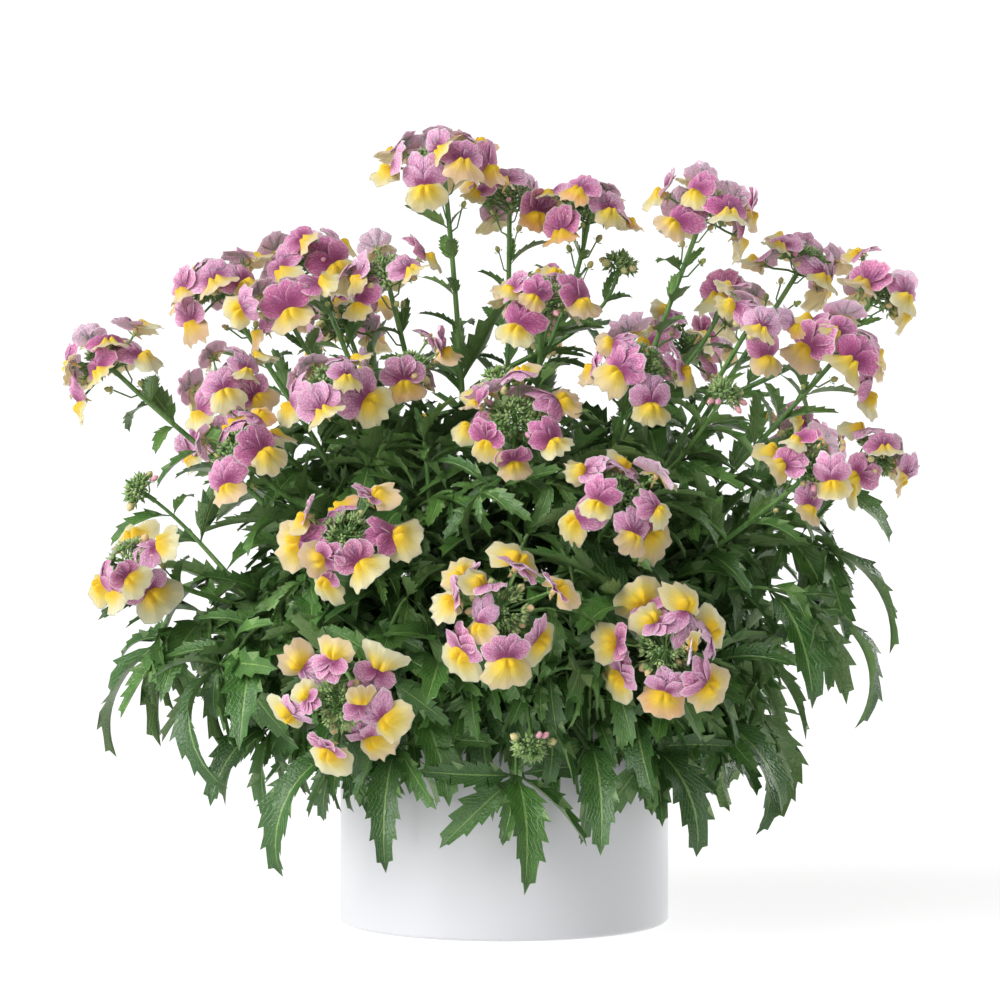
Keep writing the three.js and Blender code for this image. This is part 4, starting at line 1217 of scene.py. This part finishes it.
def lathe(name, profile, sides, finish):
    """A closed turned piece. Its profile runs from the axis to the axis."""
    mesh = bmesh.new()
    rings = [[mesh.verts.new(compass(i * tau / sides, reach, height) * MM)
              for i in range(sides if reach > 0 else 1)] for reach, height in profile]
    for a, b in zip(rings, rings[1:]):
        for i in range(sides):
            k = (i + 1) % sides
            corners = dict.fromkeys((a[i % len(a)], a[k % len(a)], b[k % len(b)], b[i % len(b)]))
            mesh.faces.new(list(corners)).smooth = True
    bmesh.ops.recalc_face_normals(mesh, faces=mesh.faces)
    data = bpy.data.meshes.new(name)
    mesh.to_mesh(data)
    mesh.free()
    data.materials.append(finish)
    return shown(name, data)


def round_corner(x, z, reach, start, end, count=6):
    """Points of a profile's round corner, from one angle to another in degrees."""
    turns = [radians(start + (end - start) * k / count) for k in range(count + 1)]
    return [(x + reach * cos(turn), z + reach * sin(turn)) for turn in turns]


def make_pot():
    outer, high, lip = POT["radius"], POT["height"], POT["wall"] / 2
    foot, thick, corner = BASE["foot"], BASE["thick"], BASE["corner"]
    inner = outer - POT["wall"]
    profile = [(0, 0), (outer - foot * 3, 0)] + round_corner(outer - foot, foot, foot, -90, 0)
    profile += [(outer, high * share) for share in (0.3, 0.6, 0.9)]
    profile += round_corner(outer - lip, high - lip, lip, 0, 180, 10)
    profile += [(inner, high * 0.8), (inner, thick + corner)]
    profile += [(inner - corner, thick + BASE["dish"]), (0, thick)]
    return lathe("glazed_pot", profile, 160, white_glaze())


def bed_height(reach):
    """The height of the potting mix, which rises from its edge to the middle."""
    rise = sin((1 - reach / BED["inner"]) * pi / 2) ** 0.5
    return SOIL["top"] - SOIL["crown"] + SOIL["crown"] * rise - BED["sunk"]


def make_bed(finish):
    """The potting mix, uneven on top."""
    inner, rings, low = BED["inner"], BED["rings"], BASE["thick"] + BASE["corner"] + GAP
    profile = [(0, low), (inner - BASE["corner"], low), (inner, BED["sides"])]
    profile += [(inner * (1 - k / rings), bed_height(inner * (1 - k / rings))) for k in range(rings + 1)]
    piece = lathe("potting_mix", profile, 96, finish)
    just_below_top = bed_height(inner) - 0.1
    for vertex in piece.data.vertices:
        if vertex.co.z > just_below_top * MM and vertex.co.xy.length < (inner - 1) * MM:
            vertex.co.z += spread(vertex.index, 90, BED["rough"]) * MM
    return piece


def crumb_spots():
    spots = []
    for k in range(CRUMBS["count"]):
        reach = (POT["radius"] - POT["wall"] - 3) * sqrt(chance(k, 91))
        size = CRUMBS["least"] + CRUMBS["more"] * chance(k, 93) ** 2
        kind = PERLITE if chance(k, 94) < CRUMBS["perlite"] else int(chance(k, 95) * PERLITE)
        turn = turned(chance(k, 96) * 360, 0, chance(k, 97) * 180)
        spots.append((compass(chance(k, 92) * tau, reach, bed_height(reach)), turn,
                      Vector((size, size * 0.8, size * 0.6)), kind, chance(k, 98)))
    return spots


# The plant's pieces

# A head's buds, how high above its foot their middle lies, and how far they reach across and above that,
# then its pods and how far out they hang. A head with more open flowers than "full" is of full size.
HEAD = {"buds": 38, "middle": 7.0, "across": 8.6, "above": 7.2, "pods": 5, "few_pods": 2, "hang": 8.5,
        "full": 3}
# Buds past this share of a head, from its top down, are opening: under these draws one is round or pink
OPENING = {"past": 0.62, "round": 0.42, "pink": 0.58}
GROWN = {"long": 45, "high": 200}  # the length of a full-grown leaf, and the plant's height above the mix


def curved_line(start, along, end, arrive, reach, count=4):
    """A thin stalk that leaves its start along one direction and arrives at its end along another."""
    span = (end - start).length
    corners = (start, start + along * span * 0.45, end - arrive * span * 0.35, end)
    return Path(corners, {"foot": reach, "top": reach}).line(count)


def stalk_lines(twigs):
    """All stalks and twigs, slimmer than the solids' thick ones, and the stalks' ends inside the heads."""
    lines = [stalk["path"].line(20, 0.76) for stalk in stalks] + [twig.line(8) for twig in twigs]
    for core in cores:
        lines.append([(core["foot"] + core["axis"] * (h * 13.5 - 0.6), 1.3 - 0.8 * h)
                      for h in (0, 0.35, 0.7, 1)])
    return lines


def flower_greens():
    """The thin stalks of the flowers, and the spots of the calyces that end them."""
    lines, spots = [], []
    for f in flowers:
        head, back = f["head"], f["throat"] - f["face"] * (2.6 * f["size"]) - f["up"] * 0.6
        start = head["foot"] + head["axis"] * (f["root"] - head["foot"]).dot(head["axis"]) * 0.6
        out = (back - start).normalized()
        lines.append(curved_line(start, (out + head["axis"] * 0.3).normalized(), back, f["face"], 0.42))
        spots.append((back, facing(f["face"], f["up"]), ALL_ROUND * f["size"], f["seed"] % 3,
                      chance(f["seed"], 17)))
    return lines, spots


def middle_greens():
    """The buds that fill the middle of each head: tight ones on top, and larger ones lower down."""
    lines, spots = [], []
    for number, core in enumerate(cores):
        axis, foot = core["axis"], core["foot"]
        small = 1 if core["flowers"] > HEAD["full"] else (0.82 if core["flowers"] else 0.62)
        count = int(HEAD["buds"] * small)
        for k in range(count):
            seed = number * 64 + k
            share = (k + 0.5) / count
            polar = radians(6 + 100 * sqrt(share) + spread(seed, 30, 7))
            out = off(axis, k * GOLDEN_TURN + spread(seed, 31, 0.3))
            way = (axis * cos(polar) + out * sin(polar)).normalized()
            from_middle = axis * (cos(polar) * HEAD["above"]) + out * (sin(polar) * HEAD["across"])
            place = foot + axis * HEAD["middle"] + from_middle * small * (0.86 + 0.24 * chance(seed, 32))
            kind, size = int(chance(seed, 33) * 3), (0.72 + 0.4 * share) * (0.85 + 0.3 * chance(seed, 34))
            pick = chance(seed, 36)
            if share > OPENING["past"] and pick < OPENING["round"]:
                kind, size = BUDS.index("round") + int(pick * 9) % 2, 0.85 + 0.35 * chance(seed, 37)
                place += way * 1.5
            elif share > OPENING["past"] and pick < OPENING["pink"]:
                kind, size = BUDS.index("pink") + seed % 2, 0.85
                place += way * 2
            base = place - way * 1.6
            spots.append((base, facing(way, out + axis * 0.1), ALL_ROUND * size, kind, chance(seed, 38)))
            lines.append(curved_line(foot + axis * (1.5 + 10 * (1 - share)), out, base, way, 0.28, 3))
    return lines, spots


def pod_greens():
    """The pods on the lower, older part of each head, where its first flowers fell."""
    lines, spots = [], []
    for number, head in enumerate(heads):
        for k in range(HEAD["pods"] if head["flowers"] > HEAD["full"] else HEAD["few_pods"]):
            seed = 4000 + number * 8 + k
            start = head["foot"] - head["axis"] * (2 + 4.5 * k)
            out = off(head["axis"], k * 2.4 + head["seed"])
            way = (out * 0.7 + head["axis"]).normalized()
            base = start + way * (HEAD["hang"] + spread(seed, 39, 1.5))
            spots.append((base, facing(way, out), ALL_ROUND * (0.8 + 0.3 * chance(seed, 40)),
                          BUDS.index("pod") + k % 2, chance(seed, 41)))
            lines.append(curved_line(start, out, base, way, 0.32, 3))
    return lines, spots


def leaf_spots(some):
    """The younger a leaf and the higher it grows, the lighter it is."""
    spots = []
    for leaf in some:
        kind = leaf["drop"] * LEAF_TURNS + int(chance(leaf["seed"], 45) * LEAF_TURNS)
        high = (leaf["from"].z - SOIL["top"]) / GROWN["high"]
        young = max(0, 1 - leaf["length"] / GROWN["long"])
        tint = 0.05 + 0.3 * high + 0.35 * young + 0.45 * chance(leaf["seed"], 46)
        size = Vector((leaf["length"], leaf["width"], leaf["length"]))
        spots.append((leaf["from"], leaf["turn"], size, kind, within(tint)))
    return spots


def lip_spots(draw, low_size):
    """The lips of all flowers. Those of one head are alike in colour, and each flower pales as it ages. The
    low heads are older, and have lips of a size of their own."""
    spots = []
    for f in flowers:
        size = f["size"] * (0.8 + 0.2 * chance(f["seed"], 33)) * (low_size if is_low(f["head"]) else 1)
        sway = rolled(8 + 22 * chance(f["seed"], 35), jitter(f["seed"], 30, 1))
        tint = 0.4 * chance(f["head"]["seed"], draw) + 0.6 * chance(f["seed"], draw + 1)
        spots.append((f["throat"], sway @ turn_onto(f["across"], f["up"], f["face"]), ALL_ROUND * size,
                      int(chance(f["seed"], draw + 2) * LIP_VARIANTS), tint))
    return spots


tree_of_shapes, tree_of_stalks = growing_tree(), stalk_tree()
blade, stem_skin, bud_skin, mix = leaf_blade(), green_stem(), bud_green(), potting_mix()
broad_leaves = collected("broad_leaf", partial(leaf_shape, BROAD), len(DROOPS) * LEAF_TURNS)
narrow_leaves = collected("narrow_leaf", partial(leaf_shape, NARROW), len(DROOPS) * LEAF_TURNS)
twigs, twig_leaves = grow_twigs()
flower_lines, calyx_spots = flower_greens()
bud_lines, bud_spots = middle_greens()
pod_lines, pod_spots = pod_greens()
stem_nodes, head_nodes = (sorted(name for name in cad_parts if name.startswith(start))
                          for start in ("leafy_stem", "flower_head"))

pieces = [
    (make_pot(), "pot", ["pot"]),
    (make_bed(mix), "soil", ["soil"]),
    (grown("loose_crumbs", crumb_spots(), collected("crumb", crumb, PERLITE + 1), mix), "soil", []),
    (drawn("square_stems", stalk_lines(twigs), stem_skin, 4, 0.35), "foliage", stem_nodes),
    (grown("stem_leaves", leaf_spots(leaves), broad_leaves, blade), "foliage", []),
    (grown("side_leaves", leaf_spots(leaves_on_stalks()), narrow_leaves, blade), "foliage", []),
    (grown("twig_leaves", leaf_spots(twig_leaves), narrow_leaves, blade), "foliage", []),
    (drawn("thin_flower_stalks", flower_lines + bud_lines + pod_lines, stem_skin, 4, 0.0), "foliage", []),
    (grown("calyces", calyx_spots, collected("calyx", calyx, 3), bud_skin), "foliage", []),
    (grown("buds_and_pods", bud_spots + pod_spots, collected("bud", bud, len(BUDS)), bud_skin),
     "foliage", []),
    (grown("upper_lips", lip_spots(18, 0.9), collected("upper_lip", upper_lip, LIP_VARIANTS), upper_petal()),
     "petals", head_nodes),
    (grown("lower_lips", lip_spots(26, 1.1), collected("lower_lip", lower_lip, LIP_VARIANTS), lower_petal()),
     "petals", []),
]
for piece, slot, nodes in pieces:
    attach(piece, "root")
    if nodes:
        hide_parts(*nodes)

# The stage in metres: a white floor that glows like a light table, soft lamps and the photo's camera

CAMERA = {"distance": 2.4, "height": 0.323, "aim": (-0.0016, 0, 0.154), "lens": 237, "sensor": 36,
          "sees": 100}
LAMPS = {"window": {"from": (-0.7, -0.42, 0.56), "strength": 3.85, "soft": 58},
         "near_wall": {"from": (-0.12, -1, 0.14), "strength": 0.85, "soft": 80},
         "far_wall": {"from": (0.82, 0.57, 0.4), "strength": 1.6, "soft": 30}}
# How strong the room's light is and how bright the camera sees it, how strongly the floor glows, and how
# far it reaches
ROOM = {"light": 0.15, "backdrop": 1.05, "light_table": 0.81, "reach": 30}


def make_floor():
    corners = [(x * ROOM["reach"], y * ROOM["reach"], 0) for x, y in ((-1, -1), (1, -1), (1, 1), (-1, 1))]
    mesh = bpy.data.meshes.new("floor")
    mesh.from_pydata(corners, [], [(0, 1, 2, 3)])
    material, _ = new_material("pale_floor", Roughness=0.9, Base_Color="#8c8c8c", Emission_Color="#ffffff",
                               Emission_Strength=ROOM["light_table"])
    mesh.materials.append(material)
    shown("floor", mesh)


def make_camera():
    data = bpy.data.cameras.new("camera")
    data.lens = CAMERA["lens"]
    data.sensor_width = CAMERA["sensor"]
    data.clip_end = CAMERA["sees"]
    camera = shown("camera", data)
    aim = Vector(CAMERA["aim"])
    flat = sqrt(CAMERA["distance"] ** 2 - (CAMERA["height"] - aim.z) ** 2)
    camera.location = (aim.x, aim.y - flat, CAMERA["height"])
    camera.rotation_euler = (aim - camera.location).to_track_quat("-Z", "Y").to_euler()
    bpy.context.scene.camera = camera


def make_light():
    """An even room, which the camera sees brighter than it lights the plant, and the lamps."""
    world = bpy.data.worlds.new("soft_room")
    world.use_nodes = True
    tree = world.node_tree
    seen = add(tree, "LightPath").outputs["Is Camera Ray"]
    strength = add(tree, "MapRange", {"Value": seen, "To Min": ROOM["light"], "To Max": ROOM["backdrop"]})
    set_inputs(tree, tree.nodes["Background"], {"Color": "#ffffff", "Strength": strength})
    bpy.context.scene.world = world
    for name, lamp in LAMPS.items():
        sun = bpy.data.lights.new(name, "SUN")
        sun.energy = lamp["strength"]
        sun.angle = radians(lamp["soft"])
        shown(name, sun).rotation_euler = Vector(lamp["from"]).to_track_quat("Z", "Y").to_euler()
    bpy.context.scene.view_settings.view_transform = "Standard"


make_floor()
make_camera()
make_light()
